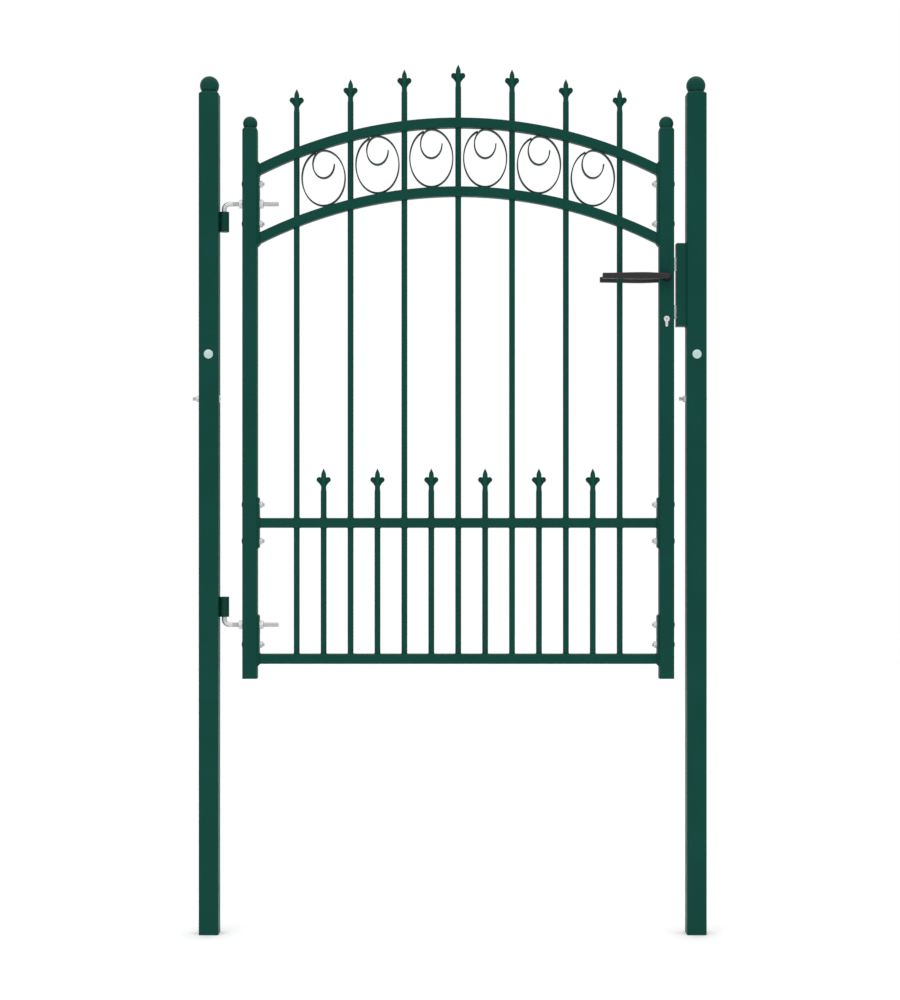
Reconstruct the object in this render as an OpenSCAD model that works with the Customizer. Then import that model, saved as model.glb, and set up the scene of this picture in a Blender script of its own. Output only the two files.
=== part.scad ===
// Single-leaf garden gate with spear-topped bars, two arched rails and a ring frieze,
// hung on L-bolts between two square posts that stand partly in the ground.
// Millimetres, +Z up. Origin: centre of the hinge post's foot. The front faces -Y.

/* [Posts] */
// Clear width between the two posts
clear_width = 952; // [800:2:1300]
// Outer side of the square post tube
post_size = 40; // [38:1:60]
// Wall of the post tube
post_wall = 1.5; // [1:0.25:3]
// Outer corner radius of the post tube
post_corner_r = 3; // [2:0.5:5]
// Height of the post tubes' tops above the leaf's foot
post_top_up = 1189; // [1150:1:1400]

/* [Post and stile caps] */
// Height of the sloped shoulder of a cap
cap_shoulder_h = 7.5; // [3:0.5:9]
// Width of the neck under the ball of a post cap
post_neck_w = 32; // [24:1:37]
// Diameter of the ball of a post cap
post_ball_d = 39; // [33:1:50]
// Width of the neck under the ball of a stile cap
stile_neck_w = 26; // [18:1:27]
// Diameter of the ball of a stile cap
stile_ball_d = 29.4; // [25:0.2:36]
// Ledge around the ball where it meets the shoulder
cap_ledge = 0.6; // [0.2:0.1:1.5]
// Depth of the plug of a cap inside its tube
cap_plug_depth = 14; // [6:1:30]
// Play between a cap's plug and its tube, per side
cap_gap = 0.1; // [0.05:0.05:0.5]

/* [Leaf frame] */
// Length of the posts below the leaf's foot, most of it in the ground
leaf_lift = 520; // [100:10:700]
// Gap between the hinge post and the hinge stile
hinge_gap = 48; // [44:1:60]
// Gap between the latch stile and the latch post
latch_gap = 25.5; // [22:0.5:40]
// Outer side of the square stile tube
stile_size = 30; // [28:1:40]
// Wall of the stile tube
stile_wall = 1.5; // [1:0.25:2.5]
// Outer corner radius of the stile tube
stile_corner_r = 2; // [1.5:0.25:4]
// How far a stile tube runs on past the top of its upper end plate
stile_over = 62.5; // [20:0.5:120]

/* [Rails] */
// Outer side of the square rail tube
rail_size = 20; // [18:1:25]
// Wall of the rail tube
rail_wall = 1.25; // [1:0.25:2]
// Outer corner radius of the rail tube
rail_corner_r = 1.5; // [1.25:0.25:2.5]
// Height of the bottom rail's underside above the leaf's foot
bottom_rail_up = 30; // [20:0.5:60]
// Height of the middle rail's underside above the leaf's foot
middle_rail_up = 307; // [250:1:360]
// Height of the lower arch's crown above the leaf's foot
lower_crown_up = 1002.5; // [900:0.5:1010]
// Distance between the crowns of the two arches
arch_pitch = 140; // [120:0.5:145]
// Radius of the top side of an arch
arch_radius = 920; // [880:5:1100]

/* [End plates] */
// Thickness of the flat bars that carry the rails' ends
plate_t = 4; // [3.5:0.5:6]
// Width of the flat bars, front to back
plate_w = 25; // [20:1:28]
// Length of the middle and lower end plates
plate_length = 105; // [90:1:120]
// How far an end plate runs on past a rail's end
plate_overhang = 5; // [3:0.5:10]
// Chamfer on the inner edge of an end plate's two ends
plate_chamfer = 3; // [1:0.5:3]

/* [Spear bars] */
// Outer diameter of a bar
bar_d = 12; // [10:0.5:14]
// Wall of a bar
bar_wall = 1.25; // [1:0.25:2]
// Number of tall bars, an odd number
tall_bars = 7; // [5:2:7]
// Distance between tall bars
bar_pitch = 109.8; // [104:0.2:112]
// Height of the middle spear tip above the leaf's foot
leaf_height = 1252; // [1220:1:1400]
// Step down from one tall spear tip to the next
tip_step = 20; // [10:1:24]
// Height of the short spear tips above the leaf's foot
short_tip_up = 428; // [380:1:600]
// Play around a bar in the hole of a rail
bar_gap = 0.15; // [0.05:0.05:0.4]

/* [Spear heads] */
// Height of a spear head on top of its bar
head_h = 49; // [40:1:60]
// Width of the blade
blade_w = 10.2; // [7:0.2:12]
// Height of the blade above the side scrolls
blade_h = 19; // [16:0.5:24]
// Height of the blade's long point
blade_point_h = 10; // [7:0.5:12]
// Width of the blade where its long point begins
blade_point_w = 9; // [6:0.1:9.5]
// Diameter of the blunt tip
tip_d = 0.8; // [0.4:0.1:2]
// Span of the two side scrolls
head_span = 29; // [26:0.5:36]
// Outer diameter of a side scroll
head_curl_d = 11; // [9:0.5:13]
// Thickness of the side scrolls, front to back
head_t = 6; // [4:0.5:9]
// Height by which a side scroll rises above the blade's foot
head_curl_rise = 1.5; // [0:0.5:4]
// Height of the tapered web under the side scrolls
head_web_h = 5.5; // [1:0.5:6]
// Diameter of the neck under the side scrolls
head_neck_d = 10.5; // [8:0.5:12]
// Height of the socket between the neck and the bar
head_socket_h = 7; // [4:0.5:10]

/* [Ring frieze] */
// Width of an oval ring
ring_w = 90.2; // [70:0.2:91]
// Thickness of the ring's strip
ring_t = 2.5; // [1.5:0.25:3]
// Width of the ring's strip, front to back
ring_depth = 15; // [10:0.5:18]
// Width of the inner curl of a ring
curl_w = 45; // [34:1:50]
// Gap between a ring and the arches it sits between
ring_gap = 0.25; // [0.1:0.05:0.5]

/* [Hinges] */
// Diameter of a hinge bolt
hinge_bolt_d = 10; // [8:1:12]
// Running clearance of a hinge bolt in its barrel, on the radius
hinge_clearance = 0.08; // [0.02:0.01:0.1]
// Outer diameter of a hinge barrel
barrel_d = 20; // [16:1:21]
// Length of a hinge barrel
barrel_length = 40.5; // [25:0.5:50]
// Distance from a barrel's end to the level part of its bolt
barrel_drop = 16.5; // [14:0.5:25]
// Bend radius of a hinge bolt at its middle line
hinge_bend_r = 11; // [8:0.5:12]
// How far a hinge bolt runs on past the stile's inner face
hinge_bolt_end = 43; // [30:1:60]
// How far a hinge bolt's foot stops short of its barrel's end
hinge_bolt_short = 1; // [0:0.5:5]
// Width across the flats of a hinge nut
hinge_nut_w = 17; // [15:1:19]
// Thickness of a hinge nut
hinge_nut_t = 8; // [5:0.5:10]

/* [Plate bolts] */
// Diameter of the bolts through the stiles
bolt_d = 8; // [6:0.5:8]
// Diameter of a bolt's domed head
bolt_head_d = 16; // [14:0.5:20]
// Height of a bolt's domed head
bolt_head_h = 2.6; // [2:0.2:4]
// Width across the flats of a nut
nut_w = 13; // [12:0.5:14]
// Thickness of a nut
nut_t = 6.5; // [4:0.5:8]
// How far a bolt's end stands out of its nut
bolt_end = 3.5; // [1:0.5:6]
// Play around a bolt in its holes
bolt_gap = 0.15; // [0.1:0.05:0.4]
// Distance between the two bolts of an upper end plate
upper_bolt_pitch = 81; // [60:1:100]
// Distance between the two bolts of a middle end plate
middle_bolt_pitch = 74.5; // [60:0.5:84]
// Height of the lowest bolt above the bottom rail
lower_bolt_up = 19; // [14:0.5:24]
// Distance between the two bolts of a lower end plate
lower_bolt_pitch = 40.3; // [32:0.1:42]

/* [Post bolts] */
// Distance from the strike box down to the front-to-back bolt in each post
post_bolt_drop = 57; // [20:1:90]
// Distance from the front-to-back bolt down to the sideways bolt in each post
side_bolt_drop = 90; // [40:1:150]
// Diameter of the round head of a front-to-back bolt
post_bolt_head_d = 18.5; // [16:0.5:24]
// Height of the round head of a front-to-back bolt
post_bolt_head_h = 3; // [2:0.25:5]
// How far a sideways bolt's end stands out of its nut
side_bolt_end = 7.5; // [1:0.5:12]

/* [Strike box] */
// Height of the box that takes the bolts of the lock
strike_h = 169; // [160:1:220]
// Depth of the box, front to back
strike_depth = 30; // [24:1:38]
// Height of the box's middle above the middle between the latch and the dead bolt
strike_up = 6; // [0:0.5:10]
// Running gap between the latch stile and the box
strike_gap = 5.2; // [5.2:0.1:8]
// Wall of the box
strike_wall = 2; // [1.5:0.25:3]
// Play around the latch and the dead bolt in their slots
slot_gap = 2; // [1:0.25:4]

/* [Lock] */
// Distance from the upper end plates down to the handle's spindle
spindle_drop = 64; // [56:0.5:200]
// Distance from the stile's outer face to the spindle
spindle_in = 15.5; // [14.5:0.5:15.5]
// Distance from the spindle down to the lock cylinder
cylinder_drop = 85; // [72:1:92]
// Distance from the spindle up to the middle of the latch
latch_up = 27; // [24:0.5:34]
// Distance from the cylinder up to the middle of the dead bolt
dead_bolt_up = 15; // [12:0.5:20]
// Height of the latch and of the dead bolt
latch_h = 28; // [20:1:30]
// Thickness of the latch and of the dead bolt
latch_t = 10; // [8:0.5:12]
// How far the latch and the dead bolt stand out of the stile
latch_throw = 11.5; // [9:0.5:12]
// Length of the latch and of the dead bolt that stays inside the case
latch_tail = 8; // [6:0.5:9]
// Clearance between the dead bolt and the lock cylinder
cylinder_clearance = 0.5; // [0.3:0.1:1]
// Length of the bevel on the latch's nose
latch_bevel = 8; // [4:0.5:9]
// Height of the lock's case
case_h = 172; // [166:1:190]
// Depth of the lock's case, front to back
case_depth = 20; // [16:1:22]
// Sliding clearance around the latch and the dead bolt in the case
slide_gap = 0.3; // [0.2:0.05:0.6]
// Diameter of the lock cylinder's round part
cylinder_d = 12; // [11:0.5:17]
// Width of the lock cylinder's lower part
cylinder_stem_w = 5.5; // [5:0.5:9]
// Height of the lock cylinder's profile
cylinder_h = 22; // [21:0.5:32]
// Play around the lock cylinder in the stile
cylinder_gap = 0.8; // [0.2:0.1:1.5]
// How far the lock cylinder stands out of the stile
cylinder_out = 2; // [1:0.25:4]

/* [Handle] */
// Side of the square spindle
spindle_w = 8; // [7:0.5:9]
// Play around the spindle where it turns
spindle_gap = 0.4; // [0.2:0.1:0.8]
// Play between the spindle and the square hole of a lever, per side
lever_fit = 0.05; // [0.02:0.01:0.2]
// Length of a lever from the spindle to its tip
lever_length = 132; // [100:1:150]
// Height of a lever's grip
lever_h = 12.5; // [8:0.5:16]
// Depth of a lever's grip, front to back
lever_depth = 12; // [8:0.5:16]
// Distance from the gate's middle plane to the middle of a grip
lever_out = 38; // [32:1:50]
// Diameter of a lever's round neck
lever_neck_d = 14; // [12:0.5:18]
// Diameter of the flared collar at the foot of a lever's neck
lever_collar_d = 19; // [18:0.5:24]
// Height of the flared collar
lever_collar_h = 6; // [2:0.5:8]
// Running gap between a lever's collar and the stile
lever_gap = 0.5; // [0.3:0.1:1]

/* [Hidden] */

GREEN = [0.05, 0.24, 0.19];
RING_GREEN = [0.08, 0.22, 0.19];
ZINC = [0.72, 0.75, 0.76];
BLACK = [0.13, 0.13, 0.14];
STEEL = [0.62, 0.64, 0.66];

// A cut runs on this far past the face that it opens
CUT = 1;
ROUND = 64;

// Plan
latch_post_x = clear_width + post_size;
post_face_x = post_size / 2;
leaf_x0 = post_face_x + hinge_gap;
leaf_x1 = post_face_x + clear_width - latch_gap;
leaf_mid_x = (leaf_x0 + leaf_x1) / 2;
hinge_stile_x = leaf_x0 + stile_size / 2;
latch_stile_x = leaf_x1 - stile_size / 2;
rail_x0 = leaf_x0 + stile_size + plate_t;
rail_x1 = leaf_x1 - stile_size - plate_t;
hinge_x = post_face_x + barrel_d / 2;

// Heights
post_length = leaf_lift + post_top_up;
bottom_rail_z = leaf_lift + bottom_rail_up;
middle_rail_z = leaf_lift + middle_rail_up;
lower_crown_z = leaf_lift + lower_crown_up;
top_crown_z = lower_crown_z + arch_pitch;
tip_z = leaf_lift + leaf_height;
short_tip_z = leaf_lift + short_tip_up;

// Height of an arch's top side, and of its underside, at the distance dx from its crown
function arch_top(crown_z, dx) = crown_z - arch_radius + sqrt(pow(arch_radius, 2) - pow(dx, 2));
function arch_under(crown_z, dx) =
  crown_z - arch_radius + sqrt(pow(arch_radius - rail_size, 2) - pow(dx, 2));

half_rail = (rail_x1 - rail_x0) / 2;
upper_plate_z0 = arch_under(lower_crown_z, half_rail) - plate_overhang;
upper_plate_z1 = arch_top(top_crown_z, half_rail) + plate_overhang;
upper_plate_mid = (upper_plate_z0 + upper_plate_z1) / 2;
stile_length = upper_plate_z1 + stile_over - leaf_lift;
middle_plate_mid = middle_rail_z + rail_size / 2;
lower_plate_z0 = bottom_rail_z - plate_overhang;
lower_bolt_z = bottom_rail_z + rail_size + lower_bolt_up;
second_bolt_z = lower_bolt_z + lower_bolt_pitch;
upper_hinge_z = upper_plate_mid;
lower_hinge_z = second_bolt_z;

PLATE_BOLT_ZS = [
  lower_bolt_z,
  middle_plate_mid - middle_bolt_pitch / 2, middle_plate_mid + middle_bolt_pitch / 2,
  upper_plate_mid - upper_bolt_pitch / 2, upper_plate_mid + upper_bolt_pitch / 2
];
LATCH_BOLT_ZS = concat(PLATE_BOLT_ZS, [second_bolt_z]);
HINGE_BOLT_ZS = [upper_hinge_z, lower_hinge_z];

// Bars, counted from the hinge side
short_bars = tall_bars - 1;
function tall_x(n) = leaf_mid_x + (n - (tall_bars + 1) / 2) * bar_pitch;
function short_x(n) = leaf_mid_x + (n - tall_bars / 2) * bar_pitch;
function tip_drop(n) = let (k = abs(n - (tall_bars + 1) / 2)) k == 0 ? 0 : (k - 0.5) * tip_step;
function tall_tip_z(n) = tip_z - tip_drop(n);

// Lock
spindle_x = leaf_x1 - spindle_in;
spindle_z = upper_plate_z0 - spindle_drop;
// The bore clears the corners of the turning square spindle
spindle_bore_d = norm([spindle_w, spindle_w]) + 2 * spindle_gap;
cylinder_z = spindle_z - cylinder_drop;
latch_z = spindle_z + latch_up;
dead_bolt_z = cylinder_z + dead_bolt_up;
strike_x = leaf_x1 + strike_gap;
strike_mid_z = (latch_z + dead_bolt_z) / 2 + strike_up;
case_x0 = leaf_x1 - stile_size + stile_wall + slide_gap;
case_z0 = (latch_z + cylinder_z - case_h) / 2;
post_bolt_z = strike_mid_z - strike_h / 2 - post_bolt_drop;
side_bolt_z = post_bolt_z - side_bolt_drop;

// ---- shared shapes ----

module rounded_square(size, r) {
  square([size - 2 * r, size], center = true);
  square([size, size - 2 * r], center = true);
  for (x = [-1, 1], y = [-1, 1])
    translate([x * (size / 2 - r), y * (size / 2 - r)])
      circle(r = r, $fn = 32);
}

module tube_section(size, wall, r) {
  difference() {
    rounded_square(size, r);
    square(size - 2 * wall, center = true);
  }
}

// A bore along X, centred on the origin
module bore_x(d, length) {
  rotate([0, 90, 0])
    cylinder(d = d, h = length, center = true, $fn = ROUND);
}

module bore_y(d, length) {
  rotate([90, 0, 0])
    cylinder(d = d, h = length, center = true, $fn = ROUND);
}

// Four-sided taper from the tube's outline to the neck, then a ball; z = 0 is the tube's end
module ball_cap(size, wall, r, neck_w, ball_d) {
  ball_z = cap_shoulder_h + sqrt(pow(ball_d / 2, 2) - pow(neck_w / 2 - cap_ledge, 2));
  taper = [[-size / 2, 0], [size / 2, 0], [neck_w / 2, cap_shoulder_h], [-neck_w / 2, cap_shoulder_h]];
  plug = size - 2 * wall - 2 * cap_gap;
  union() {
    intersection() {
      rotate([90, 0, 0])
        linear_extrude(size, center = true) polygon(taper);
      rotate([90, 0, 90])
        linear_extrude(size, center = true) polygon(taper);
      linear_extrude(cap_shoulder_h) rounded_square(size, r);
    }
    difference() {
      translate([0, 0, ball_z])
        sphere(d = ball_d, $fn = ROUND);
      translate([0, 0, cap_shoulder_h - ball_d])
        cube(2 * ball_d, center = true);
    }
    translate([0, 0, -cap_plug_depth / 2])
      cube([plug, plug, cap_plug_depth], center = true);
  }
}

// Hexagon nut along +X from x = 0, bored for its bolt
module nut_x(width, thick, bore_d) {
  rotate([0, 90, 0])
    difference() {
      cylinder(d = width / cos(30), h = thick, $fn = 6);
      translate([0, 0, -CUT])
        cylinder(d = bore_d, h = thick + 2 * CUT, $fn = ROUND);
    }
}

// Bolt along +X with a domed head behind x = 0
module domed_bolt_x(d, head_d, head_h, length) {
  dome_r = (pow(head_d / 2, 2) + pow(head_h, 2)) / (2 * head_h);
  rotate([0, 90, 0])
    union() {
      cylinder(d = d, h = length, $fn = ROUND);
      intersection() {
        translate([0, 0, dome_r - head_h])
          sphere(r = dome_r, $fn = ROUND);
        translate([0, 0, -head_h])
          cylinder(d = head_d, h = head_h, $fn = ROUND);
      }
    }
}

// ---- posts ----

module post_tube() {
  difference() {
    linear_extrude(post_length) rounded_square(post_size, post_corner_r);
    translate([0, 0, post_wall])
      linear_extrude(post_length) square(post_size - 2 * post_wall, center = true);
    translate([0, 0, post_bolt_z])
      bore_y(bolt_d + 2 * bolt_gap, post_size + 2 * CUT);
    translate([0, 0, side_bolt_z])
      bore_x(bolt_d + 2 * bolt_gap, post_size + 2 * CUT);
  }
}

module hinge_post() {
  color(GREEN) post_tube();
}

module latch_post() {
  color(GREEN) translate([latch_post_x, 0, 0]) post_tube();
}

module post_cap() {
  translate([0, 0, post_length])
    ball_cap(post_size, post_wall, post_corner_r, post_neck_w, post_ball_d);
}

module hinge_post_cap() {
  color(GREEN) post_cap();
}

module latch_post_cap() {
  color(GREEN) translate([latch_post_x, 0, 0]) post_cap();
}

// One front-to-back bolt and one sideways bolt in each post
module post_bolts() {
  through = post_size + nut_t;
  color(ZINC)
    for (x = [0, latch_post_x]) translate([x, 0, 0]) {
      translate([0, -post_size / 2, post_bolt_z])
        rotate([0, 0, 90]) domed_bolt_x(bolt_d, post_bolt_head_d, post_bolt_head_h, through + bolt_end);
      translate([post_size / 2, 0, side_bolt_z])
        rotate([0, 0, 180]) domed_bolt_x(bolt_d, bolt_head_d, bolt_head_h, through + side_bolt_end);
    }
}

module post_nuts() {
  color(ZINC)
    for (x = [0, latch_post_x]) translate([x, 0, 0]) {
      translate([0, post_size / 2, post_bolt_z])
        rotate([0, 0, 90]) nut_x(nut_w, nut_t, bolt_d + 2 * bolt_gap);
      translate([-post_size / 2, 0, side_bolt_z])
        rotate([0, 0, 180]) nut_x(nut_w, nut_t, bolt_d + 2 * bolt_gap);
    }
}

// Barrel with its lower end at z0
module barrel(z0) {
  translate([hinge_x, 0, z0])
    difference() {
      cylinder(d = barrel_d, h = barrel_length, $fn = ROUND);
      translate([0, 0, -CUT])
        cylinder(d = hinge_bolt_d + 2 * hinge_clearance, h = barrel_length + 2 * CUT, $fn = ROUND);
    }
}

module upper_hinge_barrel() {
  color(GREEN) barrel(upper_hinge_z - barrel_drop - barrel_length);
}

module lower_hinge_barrel() {
  color(GREEN) barrel(lower_hinge_z + barrel_drop);
}

module strike_box() {
  strike_w = post_face_x + clear_width - strike_x;
  color(GREEN)
    translate([strike_x, -strike_depth / 2, strike_mid_z - strike_h / 2])
      difference() {
        cube([strike_w, strike_depth, strike_h]);
        translate([strike_wall, strike_wall, strike_wall])
          cube([strike_w - 2 * strike_wall, strike_depth - 2 * strike_wall, strike_h - 2 * strike_wall]);
        for (z = [latch_z, dead_bolt_z])
          translate([-CUT, strike_depth / 2 - latch_t / 2 - slot_gap,
                     z - latch_h / 2 - slot_gap - strike_mid_z + strike_h / 2])
            cube([strike_wall + 2 * CUT, latch_t + 2 * slot_gap, latch_h + 2 * slot_gap]);
      }
}

// ---- leaf frame ----

module stile_tube() {
  translate([0, 0, leaf_lift])
    linear_extrude(stile_length) tube_section(stile_size, stile_wall, stile_corner_r);
}

module hinge_stile() {
  color(GREEN)
    difference() {
      translate([hinge_stile_x, 0, 0]) stile_tube();
      for (z = PLATE_BOLT_ZS)
        translate([hinge_stile_x, 0, z]) bore_x(bolt_d + 2 * bolt_gap, stile_size + 2 * CUT);
      for (z = HINGE_BOLT_ZS)
        translate([hinge_stile_x, 0, z]) bore_x(hinge_bolt_d + 2 * bolt_gap, stile_size + 2 * CUT);
    }
}

module latch_stile() {
  color(GREEN)
    difference() {
      translate([latch_stile_x, 0, 0]) stile_tube();
      for (z = LATCH_BOLT_ZS)
        translate([latch_stile_x, 0, z]) bore_x(bolt_d + 2 * bolt_gap, stile_size + 2 * CUT);
      // window for the lock's face plate
      translate([leaf_x1 - stile_wall - CUT, -case_depth / 2 - bolt_gap, case_z0 - bolt_gap])
        cube([stile_wall + 2 * CUT, case_depth + 2 * bolt_gap, case_h + 2 * bolt_gap]);
      translate([spindle_x, 0, spindle_z])
        bore_y(spindle_bore_d, stile_size + 2 * CUT);
      translate([spindle_x, 0, cylinder_z])
        cylinder_profile(stile_size + 2 * CUT, cylinder_gap);
    }
}

module stile_cap() {
  translate([0, 0, leaf_lift + stile_length])
    ball_cap(stile_size, stile_wall, stile_corner_r, stile_neck_w, stile_ball_d);
}

module hinge_stile_cap() {
  color(GREEN) translate([hinge_stile_x, 0, 0]) stile_cap();
}

module latch_stile_cap() {
  color(GREEN) translate([latch_stile_x, 0, 0]) stile_cap();
}

// Hole for a bar at x, from z0 to z1
module bar_hole(x, z0, z1) {
  translate([x, 0, z0])
    cylinder(d = bar_d + 2 * bar_gap, h = z1 - z0, $fn = ROUND);
}

module tall_bar_holes(z0, z1) {
  for (n = [1:tall_bars]) bar_hole(tall_x(n), z0, z1);
}

module short_bar_holes(z0, z1) {
  for (n = [1:short_bars]) bar_hole(short_x(n), z0, z1);
}

module arch_ring() {
  half_angle = asin(half_rail / (arch_radius - rail_size)) + 1;
  rotate([90, 0, 0]) rotate([0, 0, 90 - half_angle])
    rotate_extrude(angle = 2 * half_angle, $fn = 360)
      translate([arch_radius - rail_size / 2, 0])
        tube_section(rail_size, rail_wall, rail_corner_r);
}

module arch(crown_z) {
  color(GREEN)
    difference() {
      intersection() {
        translate([leaf_mid_x, 0, crown_z - arch_radius]) arch_ring();
        translate([rail_x0, -rail_size, crown_z - arch_radius])
          cube([rail_x1 - rail_x0, 2 * rail_size, 2 * arch_radius]);
      }
      tall_bar_holes(crown_z - arch_radius / 2, crown_z + CUT);
    }
}

module top_arch() {
  arch(top_crown_z);
}

module lower_arch() {
  arch(lower_crown_z);
}

module straight_rail(z) {
  translate([rail_x0, 0, z + rail_size / 2])
    rotate([90, 0, 90])
      linear_extrude(rail_x1 - rail_x0) tube_section(rail_size, rail_wall, rail_corner_r);
}

module middle_rail() {
  color(GREEN)
    difference() {
      straight_rail(middle_rail_z);
      tall_bar_holes(middle_rail_z - CUT, middle_rail_z + rail_size + CUT);
      short_bar_holes(middle_rail_z - CUT, middle_rail_z + rail_size + CUT);
    }
}

// The bars stand on the inner face of the bottom rail's lower wall
module bottom_rail() {
  color(GREEN)
    difference() {
      straight_rail(bottom_rail_z);
      tall_bar_holes(bottom_rail_z + rail_size / 2, bottom_rail_z + rail_size + CUT);
      short_bar_holes(bottom_rail_z + rail_size / 2, bottom_rail_z + rail_size + CUT);
    }
}

// Flat bar from z0 to z1 on the stile's inner face at x0; inward is 1 or -1, towards the opening
module end_plate(x0, inward, z0, z1, bolt_zs, hinge_zs) {
  nose = plate_t - plate_chamfer;
  difference() {
    translate([x0, 0, 0]) rotate([90, 0, 0])
      linear_extrude(plate_w, center = true)
        polygon([
          [0, z0], [inward * nose, z0], [inward * plate_t, z0 + plate_chamfer],
          [inward * plate_t, z1 - plate_chamfer], [inward * nose, z1], [0, z1]
        ]);
    for (z = bolt_zs)
      translate([x0, 0, z]) bore_x(bolt_d + 2 * bolt_gap, 2 * plate_t + 2 * CUT);
    for (z = hinge_zs)
      translate([x0, 0, z]) bore_x(hinge_bolt_d + 2 * bolt_gap, 2 * plate_t + 2 * CUT);
  }
}

module end_plates(x0, inward, bolt_zs, hinge_zs) {
  middle_z0 = middle_plate_mid - plate_length / 2;
  end_plate(x0, inward, upper_plate_z0, upper_plate_z1, bolt_zs, hinge_zs);
  end_plate(x0, inward, middle_z0, middle_z0 + plate_length, bolt_zs, hinge_zs);
  end_plate(x0, inward, lower_plate_z0, lower_plate_z0 + plate_length, bolt_zs, hinge_zs);
}

module hinge_side_plates() {
  color(GREEN) end_plates(leaf_x0 + stile_size, 1, PLATE_BOLT_ZS, HINGE_BOLT_ZS);
}

module latch_side_plates() {
  color(GREEN) end_plates(leaf_x1 - stile_size, -1, LATCH_BOLT_ZS, []);
}

// ---- spear bars ----

module spear_bar(x, top_z) {
  foot_z = bottom_rail_z + rail_wall;
  color(GREEN)
    translate([x, 0, foot_z])
      difference() {
        cylinder(d = bar_d, h = top_z - foot_z, $fn = ROUND);
        translate([0, 0, -CUT])
          cylinder(d = bar_d - 2 * bar_wall, h = top_z - foot_z + 2 * CUT, $fn = ROUND);
      }
}

module tall_bar(n) {
  spear_bar(tall_x(n), tall_tip_z(n) - head_h);
}

module short_bar(n) {
  spear_bar(short_x(n), short_tip_z - head_h);
}

// Spear head with its tip at z: a round socket and neck, a leaf-shaped blade and two side scrolls
module spear_head(x, z) {
  curl_top = -blade_h + head_curl_rise;
  curl_z = curl_top - head_curl_d / 2;
  curl_foot = curl_top - head_curl_d;
  curl_x = (head_span - head_curl_d) / 2;
  // the web reaches out to the scrolls' lower outer quarter
  web_x = curl_x + head_curl_d / 2 * sin(45);
  web_z = curl_z - head_curl_d / 2 * cos(45);
  translate([x, 0, z])
    union() {
      rotate_extrude($fn = ROUND)
        polygon([
          [0, -head_h], [bar_d / 2, -head_h], [head_neck_d / 2, -head_h + head_socket_h],
          [head_neck_d / 2, curl_foot], [blade_w / 2, -blade_h], [blade_point_w / 2, -blade_point_h],
          [tip_d / 2, -tip_d / 2], [0, 0]
        ]);
      rotate([90, 0, 0])
        linear_extrude(head_t, center = true) {
          for (side = [-1, 1]) {
            translate([side * curl_x, curl_z])
              circle(d = head_curl_d, $fn = 48);
            polygon([
              [0, -blade_h], [side * curl_x, curl_z], [side * web_x, web_z],
              [side * head_neck_d / 2, curl_foot - head_web_h], [0, curl_foot - head_web_h]
            ]);
          }
        }
    }
}

module tall_spear_heads() {
  color(GREEN) for (n = [1:tall_bars]) spear_head(tall_x(n), tall_tip_z(n));
}

module short_spear_heads() {
  color(GREEN) for (n = [1:short_bars]) spear_head(short_x(n), short_tip_z);
}

// ---- ring frieze ----

// The strip starts at the open end of the inner curl, runs down and up round the curl to the
// ring's top, and then once round the outer oval until it butts against the curl.
CURL_STEPS = 24;
OVAL_STEPS = 60;
// Turn of the oval at which its strip ends, and the turn over which it bends in to the curl
END_TURN = 340;
END_EASE = 42;
// Place on the curl, as a turn from its top, where the strip's end butts against it
BUTT_TURN = 322;
function oval(a, b, angle) = [a * sin(angle), b * cos(angle)];
function oval_normal(a, b, angle) = unit([b * sin(angle), a * cos(angle)]);
function curl_point(angle, a, b, top) = oval(a, b, angle) + [0, top - b];
function butt_point(a, b, top) =
  curl_point(BUTT_TURN, a, b, top) + oval_normal(a, b, BUTT_TURN) * (ring_t + ring_gap);
function ease(angle) = pow(max(0, angle - END_TURN + END_EASE) / END_EASE, 2);
function oval_point(angle, a, b, end) =
  oval(a, b, angle) + ease(angle) * (end - oval(a, b, END_TURN));
function unit(v) = v / norm(v);
function side_step(path, i) =
  let (
    before = path[max(i - 1, 0)],
    after = path[min(i + 1, len(path) - 1)],
    along = unit(after - before)
  ) [-along[1], along[0]] * ring_t / 2;

module ring(n) {
  dx = short_x(n) - leaf_mid_x;
  upper = arch_under(top_crown_z, dx);
  lower = arch_top(lower_crown_z, dx);
  // the arches slope here, so an oval of this half height just touches both
  slope = dx / sqrt(pow(arch_radius - rail_size, 2) - pow(dx, 2));
  a = ring_w / 2 - ring_t / 2;
  b = sqrt(pow((upper - lower) / 2, 2) - pow(ring_w / 2 * slope, 2)) - ring_gap - ring_t / 2;
  curl_a = curl_w / 2 - ring_t / 2;
  curl_b = b / 2;
  end = butt_point(curl_a, curl_b, b);
  path = concat(
    [for (i = [0:CURL_STEPS - 1]) curl_point(90 + 270 * i / CURL_STEPS, curl_a, curl_b, b)],
    [for (i = [0:OVAL_STEPS]) oval_point(END_TURN * i / OVAL_STEPS, a, b, end)]
  );
  last = len(path) - 1;
  outline = concat(
    [for (i = [0:last]) path[i] + side_step(path, i)],
    [for (i = [last:-1:0]) path[i] - side_step(path, i)]
  );
  color(RING_GREEN)
    translate([short_x(n), 0, (upper + lower) / 2])
      rotate([90, 0, 0])
        linear_extrude(ring_depth, center = true) polygon(outline);
}

// ---- bolts of the leaf ----

module plate_bolts() {
  bolt_length = stile_size + plate_t + nut_t + bolt_end;
  color(ZINC) {
    for (z = PLATE_BOLT_ZS)
      translate([leaf_x0, 0, z]) domed_bolt_x(bolt_d, bolt_head_d, bolt_head_h, bolt_length);
    for (z = LATCH_BOLT_ZS)
      translate([leaf_x1, 0, z]) rotate([0, 0, 180])
        domed_bolt_x(bolt_d, bolt_head_d, bolt_head_h, bolt_length);
  }
}

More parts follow.
